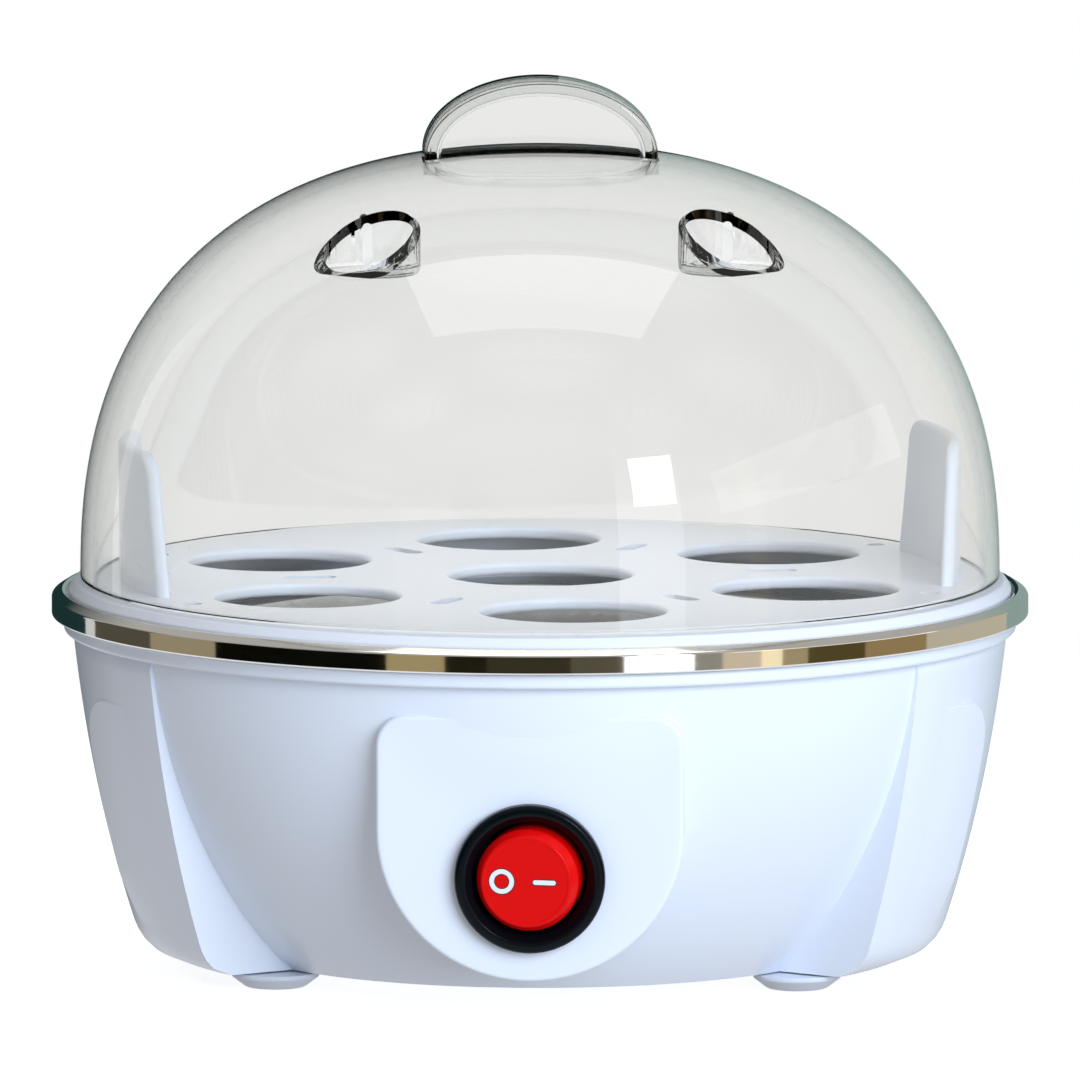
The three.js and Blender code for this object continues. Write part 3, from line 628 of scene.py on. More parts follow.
def inner_profile(radius, wall):
    """The inside of the shell from under the shelf down to the foot."""
    heights = [height for height in reversed(shell_heights()) if height < SHELF_BOTTOM - 0.2]
    top = radius(SHELF_BOTTOM) - wall
    return [(top, SHELF_BOTTOM)] + [(radius(height) - wall, height) for height in heights]


def shell_columns():
    """(azimuth, outside is a leg, inside is a leg) all the way round.

    Each leg's inside starts one wall thickness within its outside, so its two sides are walls too.
    """
    side = degrees(LEG_WALL / LEG_TABLE[0][1])
    columns = []
    for middle in (90, 270):
        edges = [middle + LEG_HALF_ANGLE - 180, middle - LEG_HALF_ANGLE, middle - LEG_HALF_ANGLE + side,
                 middle + LEG_HALF_ANGLE - side, middle + LEG_HALF_ANGLE]
        kinds = [(False, False), (True, False), (True, True), (True, False)]
        for start, end, (out_leg, in_leg) in zip(edges, edges[1:], kinds):
            count = max(1, round((end - start) / COLUMN_STEP))
            columns += [(start + (end - start) * i / count, out_leg, in_leg) for i in range(count + 1)]
    return columns


def shell():
    outside = {False: outer_profile(bowl_radius), True: outer_profile(leg_radius)}
    inside = {False: inner_profile(bowl_radius, BOWL_WALL), True: inner_profile(leg_radius, LEG_WALL)}
    sections = []
    for azimuth, out_leg, in_leg in shell_columns():
        profile = outside[out_leg] + inside[in_leg]
        sections.append([around(azimuth, distance, height) for distance, height in profile])
    return bevelled(lofted("base_shell", sections, looped=True, weigh=False), EDGE)


def shield(inset):
    """The switch panel's outline: square shoulders above a half circle."""
    half = PANEL_HALF_WIDTH - inset
    corner = PANEL_CORNER - inset
    side, top = half - corner, PANEL_TOP - PANEL_CORNER
    points = [Vector((half * cos(a), PANEL_ROUND_CENTRE + half * sin(a)))
              for a in (pi + turn for turn in sweep(pi, 64)[:-1])]
    shoulders = [Vector((side + corner * cos(a), top + corner * sin(a)))
                 for a in sweep(pi / 2, 8)]
    mirrored = [Vector((-point.x, point.y)) for point in reversed(shoulders)]
    foot = Vector((half, PANEL_ROUND_CENTRE))
    points += [foot.lerp(shoulders[0], step / 8) for step in range(8)] + shoulders
    points += [shoulders[-1].lerp(mirrored[0], step / 12) for step in range(1, 12)] + mirrored
    points += [mirrored[-1].lerp(Vector((-foot.x, foot.y)), step / 8) for step in range(1, 8)]
    return points


def panel_frame():
    """From the panel's own frame (x right, y up the face, z out) to the cooker's."""
    return Matrix.Translation(SWITCH_CENTRE) @ Matrix.Rotation(pi / 2 + PANEL_LEAN, 4, "X")


def merged_face(x, y, z):
    """A point on the panel's face, which swells softly into the bowl and dips under it on top."""
    place = panel_frame() @ Vector((x, y, 0))
    bowl = sqrt(bowl_radius(min(place.z, BODY_TOP)) ** 2 - x * x) + place.y
    near = max(0.0, MERGE_REACH - abs(bowl)) / MERGE_REACH
    swell = max(0.0, bowl) + near * near * MERGE_REACH / 4
    share = min(1.0, max(0.0, (y - PANEL_TOP + MERGE_RUN) / MERGE_RUN))
    return (x, y, z + swell - MERGE_DIP * share * share * (3 - 2 * share))


def panel():
    sections = [[(*point, -PANEL_DEPTH) for point in shield(0)]]
    for angle in sweep(pi / 2, 5):
        inset = PANEL_FILLET * (1 - cos(angle))
        height = PANEL_FILLET * (sin(angle) - 1)
        sections.append([merged_face(*point, height) for point in shield(inset)])
    middle = Vector((0, PANEL_ROUND_CENTRE))
    for share in (0.97, 0.92, 0.86, 0.78, 0.68, 0.56, 0.42, 0.28, 0.12):
        rim = [middle.lerp(point, share) for point in shield(PANEL_FILLET)]
        sections.append([merged_face(*point, 0) for point in rim])
    return moved(lofted("panel", sections, weigh=False), panel_frame())


def leg_pad(middle, side):
    """The raised flat on one half of a leg: flush towards the leg's edge, proud towards its middle."""
    sections = []
    steps, rows = 20, 24
    for step in range(steps + 1):
        share = step / steps
        offset = PAD_START + (PAD_END - PAD_START) * share
        rise = PAD_RISE * share ** PAD_SWEEP - PAD_SINK * (1 - share)
        run = radians(offset - PAD_END) * LEG_TABLE[-1][1]
        drops = [radius - sqrt(max(0.0, radius ** 2 - max(0.0, radius - run) ** 2))
                 for radius in (PAD_CORNER, PAD_CORNER / 3)]
        low, high = PAD_BOTTOM + drops[1], PAD_TOP - drops[0]
        heights = [low + (high - low) * row / rows for row in range(rows + 1)]
        azimuth = middle + side * offset
        ramps = [min(1.0, max(0.0, (height - PAD_BOTTOM) / PAD_CORNER)) for height in heights]
        rises = [rise * ramp - PAD_SINK * (1 - ramp) for ramp in ramps]
        outer = [around(azimuth, leg_radius(height) + up, height) for height, up in zip(heights, rises)]
        inner = [around(azimuth, leg_radius(height) - 1, height) for height in reversed(heights)]
        sections.append(outer + inner)
    return bevelled(lofted("pad", sections, 40, weigh=False), PAD_EDGE)


def across(radius, low, high, height, fillet=0.5):
    """A round boss along Y with a rounded rear rim."""
    outline = rounded([(0, low), (radius, low), (radius, high, fillet), (0, high)])
    boss = turned("boss", outline, MEDIUM)
    return moved(boss, Matrix.Translation((0, 0, height)) @ Matrix.Rotation(-pi / 2, 4, "X"))


def cavity():
    """The tool that keeps the panel out of the room inside the shell and out of the well."""
    gap = 0.3
    ledge, bore = SHELF_BOTTOM - gap, SHELF_BORE - gap
    wall = [(bowl_radius(height) - BOWL_WALL - gap, height)
            for height in shell_heights() if height < ledge - gap]
    low, high = BODY_BOTTOM - 5, NECK_TOP + 5
    outline = [(0, low), (wall[0][0], low), *wall, (wall[-1][0], ledge), (bore, ledge), (bore, high),
               (0, high)]
    return turned("cavity", outline)


def base_housing():
    hole = turned("hole", [(0, -12), (SWITCH_HOLE, -12), (SWITCH_HOLE, 3), (0, 3)], MEDIUM)
    room = SWITCH_HOLE + 4
    behind = turned("hollow", [(0, -40), (room, -40), (room, -PANEL_WALL), (0, -PANEL_WALL)], MEDIUM)
    pads = [("UNION", leg_pad(middle, side)) for middle in (90, 270) for side in (1, -1)]
    piece = combined(
        shell(),
        *pads,
        ("UNION", panel()),
        ("DIFFERENCE", cavity()),
        ("UNION", across(OUTLET_BOSS_RADIUS, 52, OUTLET_FACE, OUTLET_HEIGHT)),
        ("DIFFERENCE", moved(behind, panel_frame())),
        ("DIFFERENCE", moved(hole, panel_frame())),
        ("DIFFERENCE", across(OUTLET_BORE, 40, 70, OUTLET_HEIGHT)),
    )
    piece.name = "shell"
    return finish_piece(piece, "base", WHITE, "white_plastic", "base_housing")


# ---- Chrome band, gland, feet, cover and screws ----

def chrome_band():
    inner = RING_RADIUS - 2.3
    outline = rounded([
        (inner, RING_BOTTOM, 0.1), (RING_RADIUS, RING_BOTTOM, 0.3), (RING_RADIUS, RING_TOP - 1.0, 0.6),
        (RING_RADIUS - 1.6, RING_TOP, 0.5), (inner, RING_TOP - 0.3, 0.1),
    ])
    piece = turned("chrome_band", outline, 256)
    return finish_piece(piece, "base", CHROME, "chrome_trim", "trim_ring")


def gland():
    front = OUTLET_FACE - 14
    outline = rounded([
        (CORD_BORE, 0, 0.3), (4.8, 0, 0.4), (4.8, 14.3, 0.1), (7.4, 14.3, 0.3), (7.4, 15.8, 0.6),
        (5.6, 16.5, 0.6), (CORD_BORE, 16.5, 0.6),
    ])
    piece = turned("gland", outline, MEDIUM)
    turn = Matrix.Rotation(-pi / 2, 4, "X")
    moved(piece, Matrix.Translation((0, front, OUTLET_HEIGHT)) @ turn)
    return finish_piece(piece, "base", BLACK, "black_plastic", "cord_gland")


def feet():
    """Soft domed pads, a little lens-shaped towards the table."""
    outline = rounded([
        (0, 0), (FOOT_RADIUS - 2.4, 0, 1.5), (FOOT_RADIUS, FOOT_HEIGHT - 0.7, 0.5),
        (FOOT_RADIUS, FOOT_HEIGHT, 0.15), (0, FOOT_HEIGHT),
    ])
    for number in range(1, 5):
        node = f"foot_{number}"
        low, high = corners_mm(node)
        centre = (low + high) / 2
        piece = turned(f"pad_{number}", outline, SMALL)
        moved(piece, Matrix.Translation((centre.x, centre.y, 0)))
        finish_piece(piece, "base", GREY_RUBBER, "silicone", node)


def cross_recess(radius, low, high):
    """The tool for a screw's cross-shaped drive."""
    half = radius * 0.16
    long = radius * 0.62
    outline = [(long, -half), (long, half), (half, half), (half, long), (-half, long), (-half, half),
               (-long, half), (-long, -half), (-half, -half), (-half, -long), (half, -long), (half, -half)]
    return slab("recess", lambda inset: outline, low, high)


def screws():
    """Pan-head screws with a cross recess, seen from under the cooker."""
    sizes = {"cover_screw": 2.9, "bridge_screw": 3.3, "clip_screw": 2.2}
    for node in sorted(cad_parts):
        kind = "_".join(node.split("_")[:2])
        if kind not in sizes:
            continue
        head = sizes[kind]
        low, high = corners_mm(node)
        centre = (low + high) / 2
        seat = low.z + head * 0.6
        shank = head * 0.46
        thread = [(shank * (1 if step % 2 else 0.8), seat + 0.5 + step * 0.4)
                  for step in range(int((high.z - seat - 2) / 0.4))]
        outline = rounded([(0, low.z), (head, low.z, head * 0.45), (head, seat, 0.15), (shank, seat)])
        outline = outline + [Vector(point) for point in thread] + [Vector((0, high.z))]
        piece = turned(node + "_body", outline, SMALL, 50)
        combined(piece, ("DIFFERENCE", cross_recess(head, low.z - 1, low.z + head * 0.35)))
        moved(piece, Matrix.Translation((centre.x, centre.y, 0)))
        finish_piece(piece, "base", ZINC, "zinc_steel", node)


# ---- Egg tray ----

def flared_hole(radius, low, high, flare=0.8, facets=MEDIUM):
    """The tool for a round hole whose two rims are rounded."""
    arcs = [(radius + flare * (1 - cos(a)), flare * sin(a))
            for a in sweep(pi / 2, 5)]
    lower = [(distance, low + flare - up) for distance, up in reversed(arcs)]
    upper = [(distance, high - flare + up) for distance, up in arcs]
    outside = radius + flare
    outline = [(0, low - 1), (outside, low - 1), *lower, *upper, (outside, high + 1), (0, high + 1)]
    return turned("seat", outline, facets)


def stadium(length, width):
    """A slot's outline, with round ends."""
    reach = (length - width) / 2

    def outline(inset):
        half = width / 2 - inset
        return [(side * reach + half * cos(a), half * sin(a))
                for side, start in ((1, -pi / 2), (-1, pi / 2))
                for a in (start + turn for turn in sweep(pi, 10))]
    return outline


def slot_tool(azimuth, distance, length, width):
    tool = slab("slot", stadium(length, width), 50, 70)
    turn = about_z(radians(azimuth - 90))
    return moved(tool, Matrix.Translation(around(azimuth, distance)) @ turn)


def tray_post(side):
    """A curved finger post: tapered, with round shoulders and soft edges."""
    low = TRAY_TOP - 1
    sections = []
    levels = [(low + (POST_TOP - POST_CORNER - low) * step / 8, 0) for step in range(9)]
    levels += [(POST_TOP - POST_CORNER + POST_CORNER * sin(a), POST_CORNER * (1 - cos(a)))
               for a in sweep(pi / 2, 14)[1:-1]]
    for height, back in levels:
        share = min(1.0, (height - low) / (POST_TOP - POST_CORNER - low))
        half = POST_FOOT_HALF + (POST_TOP_HALF - POST_FOOT_HALF) * share - back
        thin = min(1.0, max(0.0, (POST_TOP - height) / 0.9))
        thick = POST_THICKNESS / 2 * sqrt(max(0.05, 1 - (1 - thin) ** 2))
        edge = min(0.9, thick)
        steps = 24
        ring = []
        for face, order in ((1, 1), (-1, -1)):
            spans = [order * (2 * step / steps - 1) * (half - edge) for step in range(steps + 1)]
            ring += [(span, face * thick) for span in spans]
            ring += [(order * (half - edge + edge * sin(a)), face * thick * cos(a))
                     for a in sweep(pi, 8)[1:-1]]
        sections.append([
            Vector(((POST_RADIUS + out) * cos(asin(span / POST_RADIUS)), span, height))
            for span, out in ring])
    piece = lofted("post", sections, 50)
    return moved(piece, about_z(0 if side > 0 else pi))


def egg_tray():
    under = TRAY_TOP - 2
    outline = rounded([
        (0, under), (68, under), (71.2, under, 0.6), (72, 58.6, 0.3), (73.8, 58.6, 0.3), (73.8, 60.9, 0.5),
        (TRAY_RADIUS, 60.9, 0.4), (TRAY_RADIUS, 62.4, 0.7), (76.2, 63.8, 0.8), (72.9, 63.8, 0.5),
        (72.3, TRAY_TOP, 0.6), (71, TRAY_TOP), (0, TRAY_TOP),
    ])
    plate = turned("tray_plate", outline)
    steps = [("UNION", tray_post(1)), ("UNION", tray_post(-1))]
    steps.append(("DIFFERENCE", flared_hole(SEAT_RADIUS, under, TRAY_TOP)))
    for azimuth in range(0, 360, 60):
        place = Matrix.Translation(around(azimuth, SEAT_CIRCLE))
        steps.append(("DIFFERENCE", moved(flared_hole(SEAT_RADIUS, under, TRAY_TOP), place)))
        steps.append(("DIFFERENCE", slot_tool(azimuth + 30, STEAM_SLOT_CIRCLE, *STEAM_SLOT)))
    for azimuth in (62, 118, -62, -118):
        steps.append(("DIFFERENCE", slot_tool(azimuth, POST_RADIUS, *DRAIN_SLOT)))
    piece = moved(combined(plate, *steps), about_z(TRAY_TURN))
    return finish_piece(piece, "tray", TRAY_GREY, "tray_plastic", "egg_tray")


# ---- Lid ----

def dome_curve(inset, steps=56):
    """The superellipse that the dome is turned from, from its rim to its top."""
    points = []
    for step in range(steps + 1):
        angle = pi / 2 * step / steps
        across_share = cos(angle) ** (2 / LID_POWER) if step < steps else 0
        up_share = sin(angle) ** (2 / LID_POWER)
        height = LID_BOTTOM + (LID_HEIGHT - inset) * up_share
        points.append(((LID_RADIUS - inset) * across_share, height))
    return points


def dome_solid(name, inset, low):
    curve = dome_curve(inset)
    return turned(name, [(0, low), (curve[0][0], low), *curve[(1 if low == LID_BOTTOM else 0):]])


def dome_shell():
    outside, inside = dome_curve(0), dome_curve(LID_WALL)
    lip = [(LID_RADIUS - 0.25, LID_BOTTOM + 0.02), (LID_RADIUS, LID_BOTTOM + 0.3)]
    start = [(LID_RADIUS - LID_WALL, LID_BOTTOM + 0.3), (LID_RADIUS - LID_WALL + 0.25, LID_BOTTOM + 0.02)]
    return turned("dome", [*lip, *outside[1:], *reversed(inside[1:]), *start])


def grip_outline(inset):
    half, rise = GRIP_HALF_WIDTH - inset, GRIP_RISE - inset
    arc = [(half * cos(a), GRIP_LEVEL + rise * sin(a))
           for a in sweep(pi, 72)]
    return [*arc, (-half, GRIP_LEVEL - 4), (half, GRIP_LEVEL - 4)]


def grip_solid(name, inset, radius):
    half = GRIP_DEPTH / 2 - inset
    piece = slab(name, lambda back: grip_outline(inset + back), -half, half, radius)
    return moved(piece, Matrix.Rotation(pi / 2, 4, "X"))


def grip_hollow():
    """The room inside the grip, open into the dome."""
    half, depth = GRIP_HALF_WIDTH - LID_WALL, GRIP_DEPTH / 2 - LID_WALL

    def outline(inset):
        arc = [((half - inset) * cos(a), GRIP_LEVEL + (GRIP_RISE - LID_WALL - inset) * sin(a))
               for a in sweep(pi, 60)]
        return [*arc, (inset - half, 120), (half - inset, 120)]
    return moved(slab("hollow", outline, -depth, depth, 0.8), Matrix.Rotation(pi / 2, 4, "X"))


def lid():
    vents = [VENT_AZIMUTH, -VENT_AZIMUTH]
    steps = [("UNION", grip_solid("grip", 0, 1.1))]
    outside_only = dome_solid("outside", 0, LID_BOTTOM)
    for azimuth in vents:
        cup = turned("cup", rounded([
            (0, VENT_FLOOR - VENT_WALL), (VENT_RADIUS + VENT_WALL, VENT_FLOOR - VENT_WALL, 1.2),
            (VENT_RADIUS + VENT_WALL, 140), (0, 140)]), MEDIUM)
        moved(cup, Matrix.Translation(around(azimuth, VENT_CIRCLE)))
        add_boolean(cup, "INTERSECT", outside_only)
        finished_mesh(cup)
        smooth(cup.data)
        steps.append(("UNION", cup))
    steps.append(("DIFFERENCE", grip_hollow()))
    for azimuth in vents:
        pocket = turned("pocket", rounded([
            (0, VENT_FLOOR), (VENT_RADIUS, VENT_FLOOR, 0.8), (VENT_RADIUS, 141), (0, 141)]), MEDIUM)
        moved(pocket, Matrix.Translation(around(azimuth, VENT_CIRCLE)))
        steps.append(("DIFFERENCE", pocket))
        tall = VENT_SLOT_TOP - VENT_FLOOR
        slot = slab("slot", stadium(tall, VENT_SLOT_WIDTH), -3, 2)
        moved(slot, Matrix.Rotation(pi / 2, 4, "X") @ about_z(pi / 2))
        rear = around(azimuth, VENT_CIRCLE, VENT_FLOOR + tall / 2) + Vector((0, VENT_RADIUS, 0))
        steps.append(("DIFFERENCE", moved(slot, Matrix.Translation(rear))))
    piece = combined(dome_shell(), *steps)
    bpy.data.objects.remove(outside_only)
    piece.name = "clear_lid"
    moved(piece, about_z(LID_TURN))
    return finish_piece(piece, "lid", CLEAR, "clear_lid", "lid")


# ---- Pan and seal ----

def pan():
    outline = rounded([
        (0, PAN_BOTTOM), (60, PAN_BOTTOM, 3), (62.2, 54.2, 0.6), (PAN_RADIUS, 54.2, 0.3),
        (PAN_RADIUS, PAN_TOP, 0.3), (61.2, PAN_TOP, 1.2), (59.2, PAN_BOTTOM + 1, 2.4),
        (20, PAN_BOTTOM + 1, 0.5), (19.4, PAN_BOTTOM + 1.4, 0.5), (17, PAN_BOTTOM + 1.4, 0.5),
        (16.4, PAN_BOTTOM + 1, 0.5), (0, PAN_BOTTOM + 1),
    ])
    piece = turned("pan", outline)
    return finish_piece(piece, "base", STEEL, "stainless", "heating_pan")


def seal():
    low, high = (corner.z for corner in corners_mm("pan_seal"))
    outline = rounded([(64.4, low, 0.3), (69.6, low, 0.3), (69.6, high, 0.3), (64.4, high, 0.3)])
    return finish_piece(turned("gasket", outline), "base", GREY_RUBBER, "silicone", "pan_seal")


# ---- Switch ----

def bezel():
    outline = rounded([
        (0, BARREL_BACK), (BARREL_RADIUS, BARREL_BACK, 0.5), (BARREL_RADIUS, 0.3, 0.1),
        (BEZEL_RADIUS, 0.3, 0.15), (BEZEL_RADIUS, BEZEL_HEIGHT, 0.9), (10.6, BEZEL_HEIGHT + 0.02, 0.5),
        (BARREL_BORE + 0.2, 1.2, 0.5), (BARREL_BORE, -1, 0.4), (BARREL_BORE, BARREL_FLOOR),
        (0, BARREL_FLOOR),
    ])
    piece = turned("bezel", outline, 128)
    slots = []
    for x in (-6, 0, 6):
        slot = slab("slot", stadium(5.6, 1.6), BARREL_BACK - 1, BARREL_FLOOR + 1)
        moved(slot, Matrix.Translation((x, 0, 0)) @ about_z(pi / 2))
        slots.append(("DIFFERENCE", slot))
    moved(combined(piece, *slots), panel_frame())
    return finish_piece(piece, "base", BLACK, "black_plastic", "switch_housing")


def rocker_frame():
    return panel_frame() @ Matrix.Rotation(-ROCKER_TILT, 4, "Y")


def rocker():
    """The red cap: a flat oval face inside a rolled shoulder, over a round skirt."""
    skirt = ROCKER_FRONT - 1.9
    outline = rounded([
        (0, ROCKER_FRONT - 2), (6.8, ROCKER_FRONT - 2, 0.3), (6.8, -4, 0.1), (ROCKER_RADIUS, -4, 0.2),
        (ROCKER_RADIUS, skirt, 0.9), (7.3, ROCKER_FRONT, 0.55), (6.75, ROCKER_FRONT - 0.22, 0.2),
        (0, ROCKER_FRONT - 0.22),
    ])
    piece = turned("rocker_cap", outline, 128)
    moved(piece, rocker_frame())
    return finish_piece(piece, "rocker", RED, "red_plastic", "switch_rocker")


def mark(name, outline_out, outline_in, height, thick):
    """A flat ring between two outlines with the same number of points, or a bar if one is None."""
    levels = [(-thick, 0), (height - 0.03, 0), (height, 0.03)]
    rings = [[(*point, ROCKER_FRONT - 0.22 + up) for point in outline_out(back)] for up, back in levels]
    if outline_in is None:
        return lofted(name, rings)
    inner = [[(*point, ROCKER_FRONT - 0.22 + up) for point in outline_in(-back)] for up, back in levels]
    return lofted(name, rings + list(reversed(inner)), looped=True)


def circle_outline(radius):
    def outline(inset):
        return [((radius - inset) * cos(a), (radius - inset) * sin(a))
                for a in sweep(2 * pi, SMALL)[:-1]]
    return outline


def marks():
    """The circle and the bar, each a white inlay with a dark hairline round it: painted shade that stands
    for a groove.
    """
    circle_place = Matrix.Translation((-4.0, 0, 0))
    bar_place = Matrix.Translation((3.0, 0, 0))
    ring, edge = (2.05, 1.25), 0.16
    parts = [
        ("circle_mark", circle_outline(ring[0]), circle_outline(ring[1]), 0.06, MARK, circle_place),
        # The dark ring round each mark is painted groove shade, not a cut.
        ("circle_groove_shade", circle_outline(ring[0] + edge), circle_outline(ring[1] - edge), 0.035, MARK_GROOVE_SHADE,
         circle_place),
        ("bar_mark", stadium(3.8, 0.8), None, 0.06, MARK, bar_place),
        ("bar_groove_shade", stadium(3.8 + 2 * edge, 0.8 + 2 * edge), None, 0.035, MARK_GROOVE_SHADE, bar_place),
    ]
    for name, outer, inner, height, material, place in parts:
        piece = moved(mark(name, outer, inner, height, 0.3), rocker_frame() @ place)
        finish_piece(piece, "rocker", material, "red_plastic")


# ---- Inner pieces that keep their CAD shape ----

def paint_inner_nodes():
    paints = {
        "heat_spreader": ALUMINIUM, "heating_element": TUBE, "pan_bridge": ZINC, "thermostat": CERAMIC,
        "thermostat_clip": ZINC, "thermal_fuse": CERAMIC, "rocker_plunger": BRASS,
        "rocker_lamp": LAMP, "switch_contact": BRASS, "bottom_cover": WHITE,
    }
    prefixes = {
        "element_pin": BRASS, "switch_terminal": BRASS, "crimp_cap": GREY_RUBBER, "lead_": SLEEVE,
    }
    for name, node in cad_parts.items():
        found = [paint for prefix, paint in prefixes.items() if name.startswith(prefix)]
        paint = paints.get(name) or (found[0] if found else None)
        if paint is None:
            continue
        node.data.materials.clear()
        node.data.materials.append(paint)


# ---- Camera, floor and light ----

def direction(azimuth, elevation):
    """The unit vector from the cooker towards an azimuth and elevation in degrees."""
    up = radians(elevation)
    return around(azimuth, cos(up), sin(up))


def aim(thing, target):
    thing.rotation_euler = (thing.location - target).to_track_quat("Z", "Y").to_euler()


CAMERA_TARGET = Vector((0, 0, 0.0701))
CAMERA_ANGLES = (1.3, 7.25)
CAMERA_DISTANCE = 6
CAMERA_LENS = 1221
FLOOR_RADIUS = 450
FLOOR_LEVEL = -0.2  # just under the feet
FLOOR_GLOW = 0.78


def make_camera():
    data = bpy.data.cameras.new("camera")
    data.lens = CAMERA_LENS
    data.sensor_width = 36
    data.clip_start = 0.05
    data.clip_end = 50
    camera = bpy.data.objects.new("camera", data)
    camera.location = CAMERA_TARGET + direction(*CAMERA_ANGLES) * CAMERA_DISTANCE
    aim(camera, CAMERA_TARGET)
    bpy.context.scene.collection.objects.link(camera)
    bpy.context.scene.camera = camera


def make_floor():
    """A pale disc that fades into the white surroundings."""
    made, shader = new_material("pale_floor", (0.55, 0.55, 0.55), 0.9)
    set_inputs(shader, Specular_IOR_Level=0.0)
    nodes = made.node_tree.nodes
    glow = add_node(made, "ShaderNodeEmission", Strength=FLOOR_GLOW)
    both = add_node(made, "ShaderNodeAddShader")
    link(made, shader.outputs[0], both.inputs[0])
    link(made, glow.outputs[0], both.inputs[1])
    place = add_node(made, "ShaderNodeTexCoord")
    far = add_node(made, "ShaderNodeVectorMath", operation="LENGTH")
    link(made, place.outputs["Object"], far.inputs[0])
    fade = add_node(made, "ShaderNodeMapRange", From_Min=0.16, From_Max=0.42, To_Min=0.0, To_Max=1.0)
    fade.interpolation_type = "SMOOTHSTEP"
    link(made, far.outputs["Value"], fade.inputs["Value"])
    clear = add_node(made, "ShaderNodeBsdfTransparent")
    mix = add_node(made, "ShaderNodeMixShader")
    link(made, fade.outputs["Result"], mix.inputs[0])
    link(made, both.outputs[0], mix.inputs[1])
    link(made, clear.outputs[0], mix.inputs[2])
    link(made, mix.outputs[0], nodes["Material Output"].inputs["Surface"])
    rim = [around(360 * step / MEDIUM, FLOOR_RADIUS, FLOOR_LEVEL) for step in range(MEDIUM)]
    floor = new_piece("floor", rim, [tuple(range(MEDIUM))])
    floor.data.materials.append(made)
    for kind in ("diffuse", "glossy"):
        setattr(floor, f"visible_{kind}", False)
    if floor.data.polygons[0].normal.z < 0:
        floor.data.flip_normals()


def make_lamp(name, azimuth, elevation, distance, size, radiance, colour, mirrored, lights=True):
    """A panel of light, even over its face; mirrored says whether gloss shows it."""
    data = bpy.data.lights.new(name, "AREA")
    data.shape = "RECTANGLE"
    data.size, data.size_y = size
    data.energy = radiance * pi * size[0] * size[1]
    data.color = colour
    lamp = bpy.data.objects.new(name, data)
    target = Vector((0, 0, 0.07))
    lamp.location = target + direction(azimuth, elevation) * distance
    aim(lamp, target)
    lamp.visible_camera = False
    lamp.visible_transmission = False
    lamp.visible_glossy = mirrored
    lamp.visible_diffuse = lights
    bpy.context.scene.collection.objects.link(lamp)


# What the chrome band mirrors: (azimuth where it begins, colour), all round the room
SURROUNDINGS = [
    (-180, (0.01, 0.03, 0.03)), (-135, (0.6, 0.6, 0.6)), (-130, (0.08, 0.07, 0.05)),
    (-105, (0.30, 0.25, 0.16)), (-82, (0.002, 0.002, 0.001)), (-36, (0.35, 0.28, 0.14)),
    (-22, (0.012, 0.010, 0.004)), (-12, (0.035, 0.030, 0.016)), (8, (0.09, 0.08, 0.05)),
    (20, (1.6, 1.6, 1.6)), (37, (0.27, 0.26, 0.22)), (45, (0.60, 0.50, 0.38)),
    (54, (1.0, 0.85, 0.55)), (60, (0.35, 0.28, 0.16)), (67, (0.08, 0.06, 0.02)),
    (84, (0.28, 0.20, 0.09)), (105, (0.50, 0.45, 0.35)), (145, (0.26, 0.35, 0.33)),
]


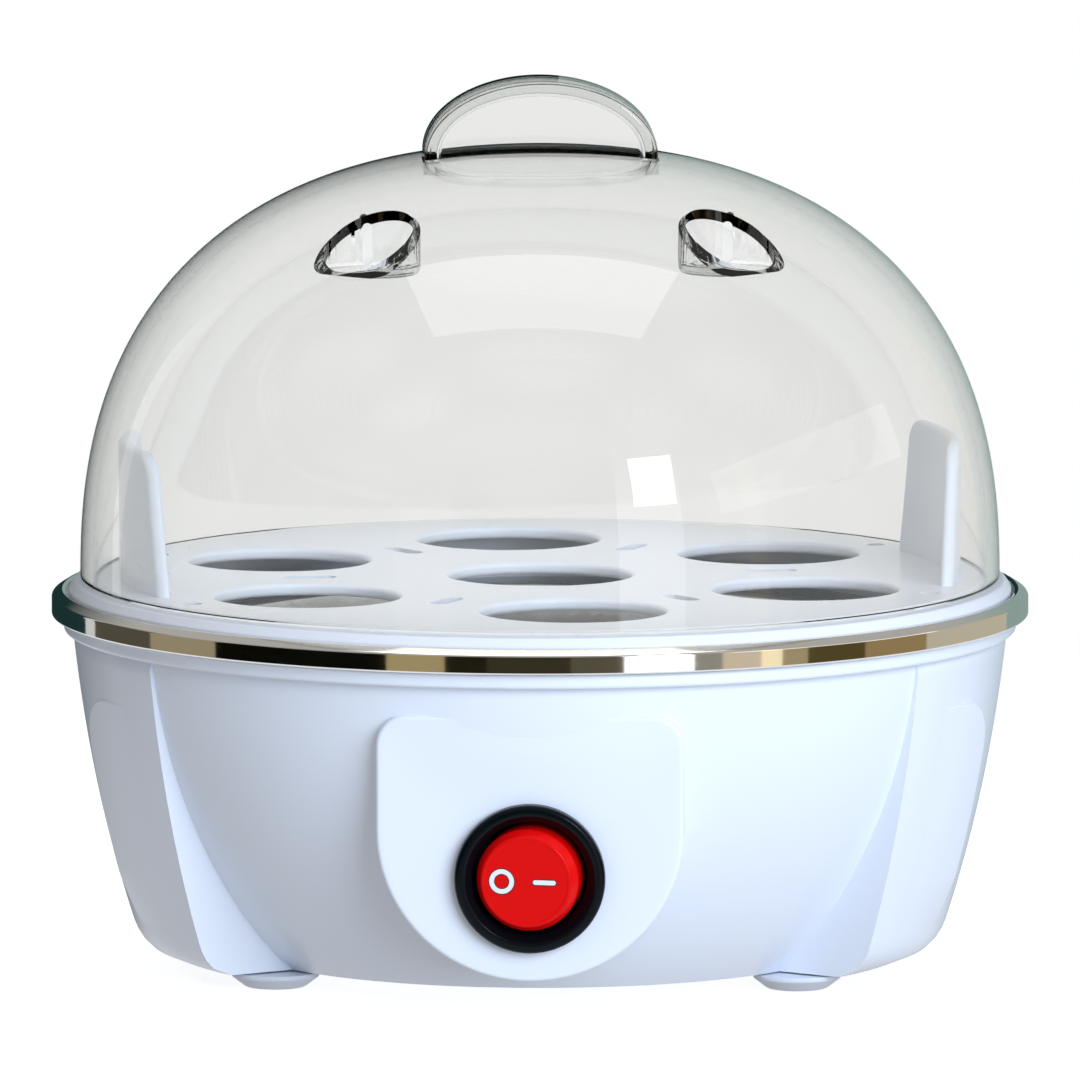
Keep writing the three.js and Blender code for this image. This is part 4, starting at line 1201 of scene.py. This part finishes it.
def make_world():
    """White to look at; to mirrors and gloss, a room with bands of dark and light."""
    world = bpy.data.worlds.new("studio")
    world.use_nodes = True
    bpy.context.scene.world = world
    background = world.node_tree.nodes["Background"]
    place = add_node(world, "ShaderNodeTexCoord")
    parts = add_node(world, "ShaderNodeSeparateXYZ")
    link(world, place.outputs["Generated"], parts.inputs[0])
    back = add_node(world, "ShaderNodeMath", operation="MULTIPLY")
    back.inputs[1].default_value = -1
    link(world, parts.outputs["Y"], back.inputs[0])
    angle = add_node(world, "ShaderNodeMath", operation="ARCTAN2")
    link(world, parts.outputs["X"], angle.inputs[0])
    link(world, back.outputs[0], angle.inputs[1])
    turn = add_node(world, "ShaderNodeMapRange", From_Min=-pi, From_Max=pi)
    link(world, angle.outputs[0], turn.inputs["Value"])
    ramp = add_node(world, "ShaderNodeValToRGB")
    ramp.color_ramp.interpolation = "CONSTANT"
    for index, (azimuth, colour) in enumerate(SURROUNDINGS):
        stops = ramp.color_ramp.elements
        stop = stops[index] if index < 2 else stops.new(1)
        stop.position = (azimuth + 180) / 360
        stop.color = (*colour, 1)
    link(world, turn.outputs["Result"], ramp.inputs["Fac"])

    def blend(low, high, first, second):
        """Mixes two colours by the height of the looking direction."""
        rise = add_node(world, "ShaderNodeMapRange", From_Min=low, From_Max=high)
        link(world, parts.outputs["Z"], rise.inputs["Value"])
        mix = add_node(world, "ShaderNodeMix", data_type="RGBA")
        link(world, rise.outputs["Result"], mix.inputs["Factor"])
        for socket, value in (("A", first), ("B", second)):
            if isinstance(value, tuple):
                mix.inputs[socket].default_value = (*value, 1)
            else:
                link(world, value, mix.inputs[socket])
        return mix.outputs["Result"]

    room = blend(-0.30, -0.18, (0.85, 0.87, 0.92), ramp.outputs["Color"])
    room = blend(0.25, 0.55, room, (0.42, 0.41, 0.39))
    rays = add_node(world, "ShaderNodeLightPath")
    mirrored = add_node(world, "ShaderNodeMath", operation="SUBTRACT", use_clamp=True)
    link(world, rays.outputs["Is Glossy Ray"], mirrored.inputs[0])
    link(world, rays.outputs["Is Transmission Ray"], mirrored.inputs[1])
    ambient = add_node(world, "ShaderNodeMix", data_type="RGBA")
    set_inputs(ambient, A=(1, 1, 1, 1), B=(0.43, 0.435, 0.45, 1))
    link(world, rays.outputs["Is Diffuse Ray"], ambient.inputs["Factor"])
    seen = add_node(world, "ShaderNodeMix", data_type="RGBA")
    link(world, mirrored.outputs[0], seen.inputs["Factor"])
    link(world, ambient.outputs["Result"], seen.inputs["A"])
    link(world, room, seen.inputs["B"])
    link(world, seen.outputs["Result"], background.inputs["Color"])


def make_studio():
    make_camera()
    make_floor()
    make_lamp("daylight", 31, 15, 1.3, (0.9, 0.8), 7.9, (0.74, 0.84, 1.0), False)
    make_lamp("window", 30.5, 20.5, 1.3, (0.24, 0.28), 12.0, (0.97, 0.98, 1.0), True, False)
    make_lamp("ceiling", 0, 87, 0.9, (0.70, 0.52), 1.9, (1.0, 0.985, 0.94), True)
    make_lamp("wall_glow", 78, 18, 1.3, (1.5, 0.26), 0.9, (1.0, 0.96, 0.92), True, False)
    make_world()
    bpy.context.scene.view_settings.view_transform = "Standard"


make_studio()
base_housing()
chrome_band()
gland()
feet()
egg_tray()
lid()
pan()
seal()
bezel()
rocker()
marks()
paint_inner_nodes()
screws()
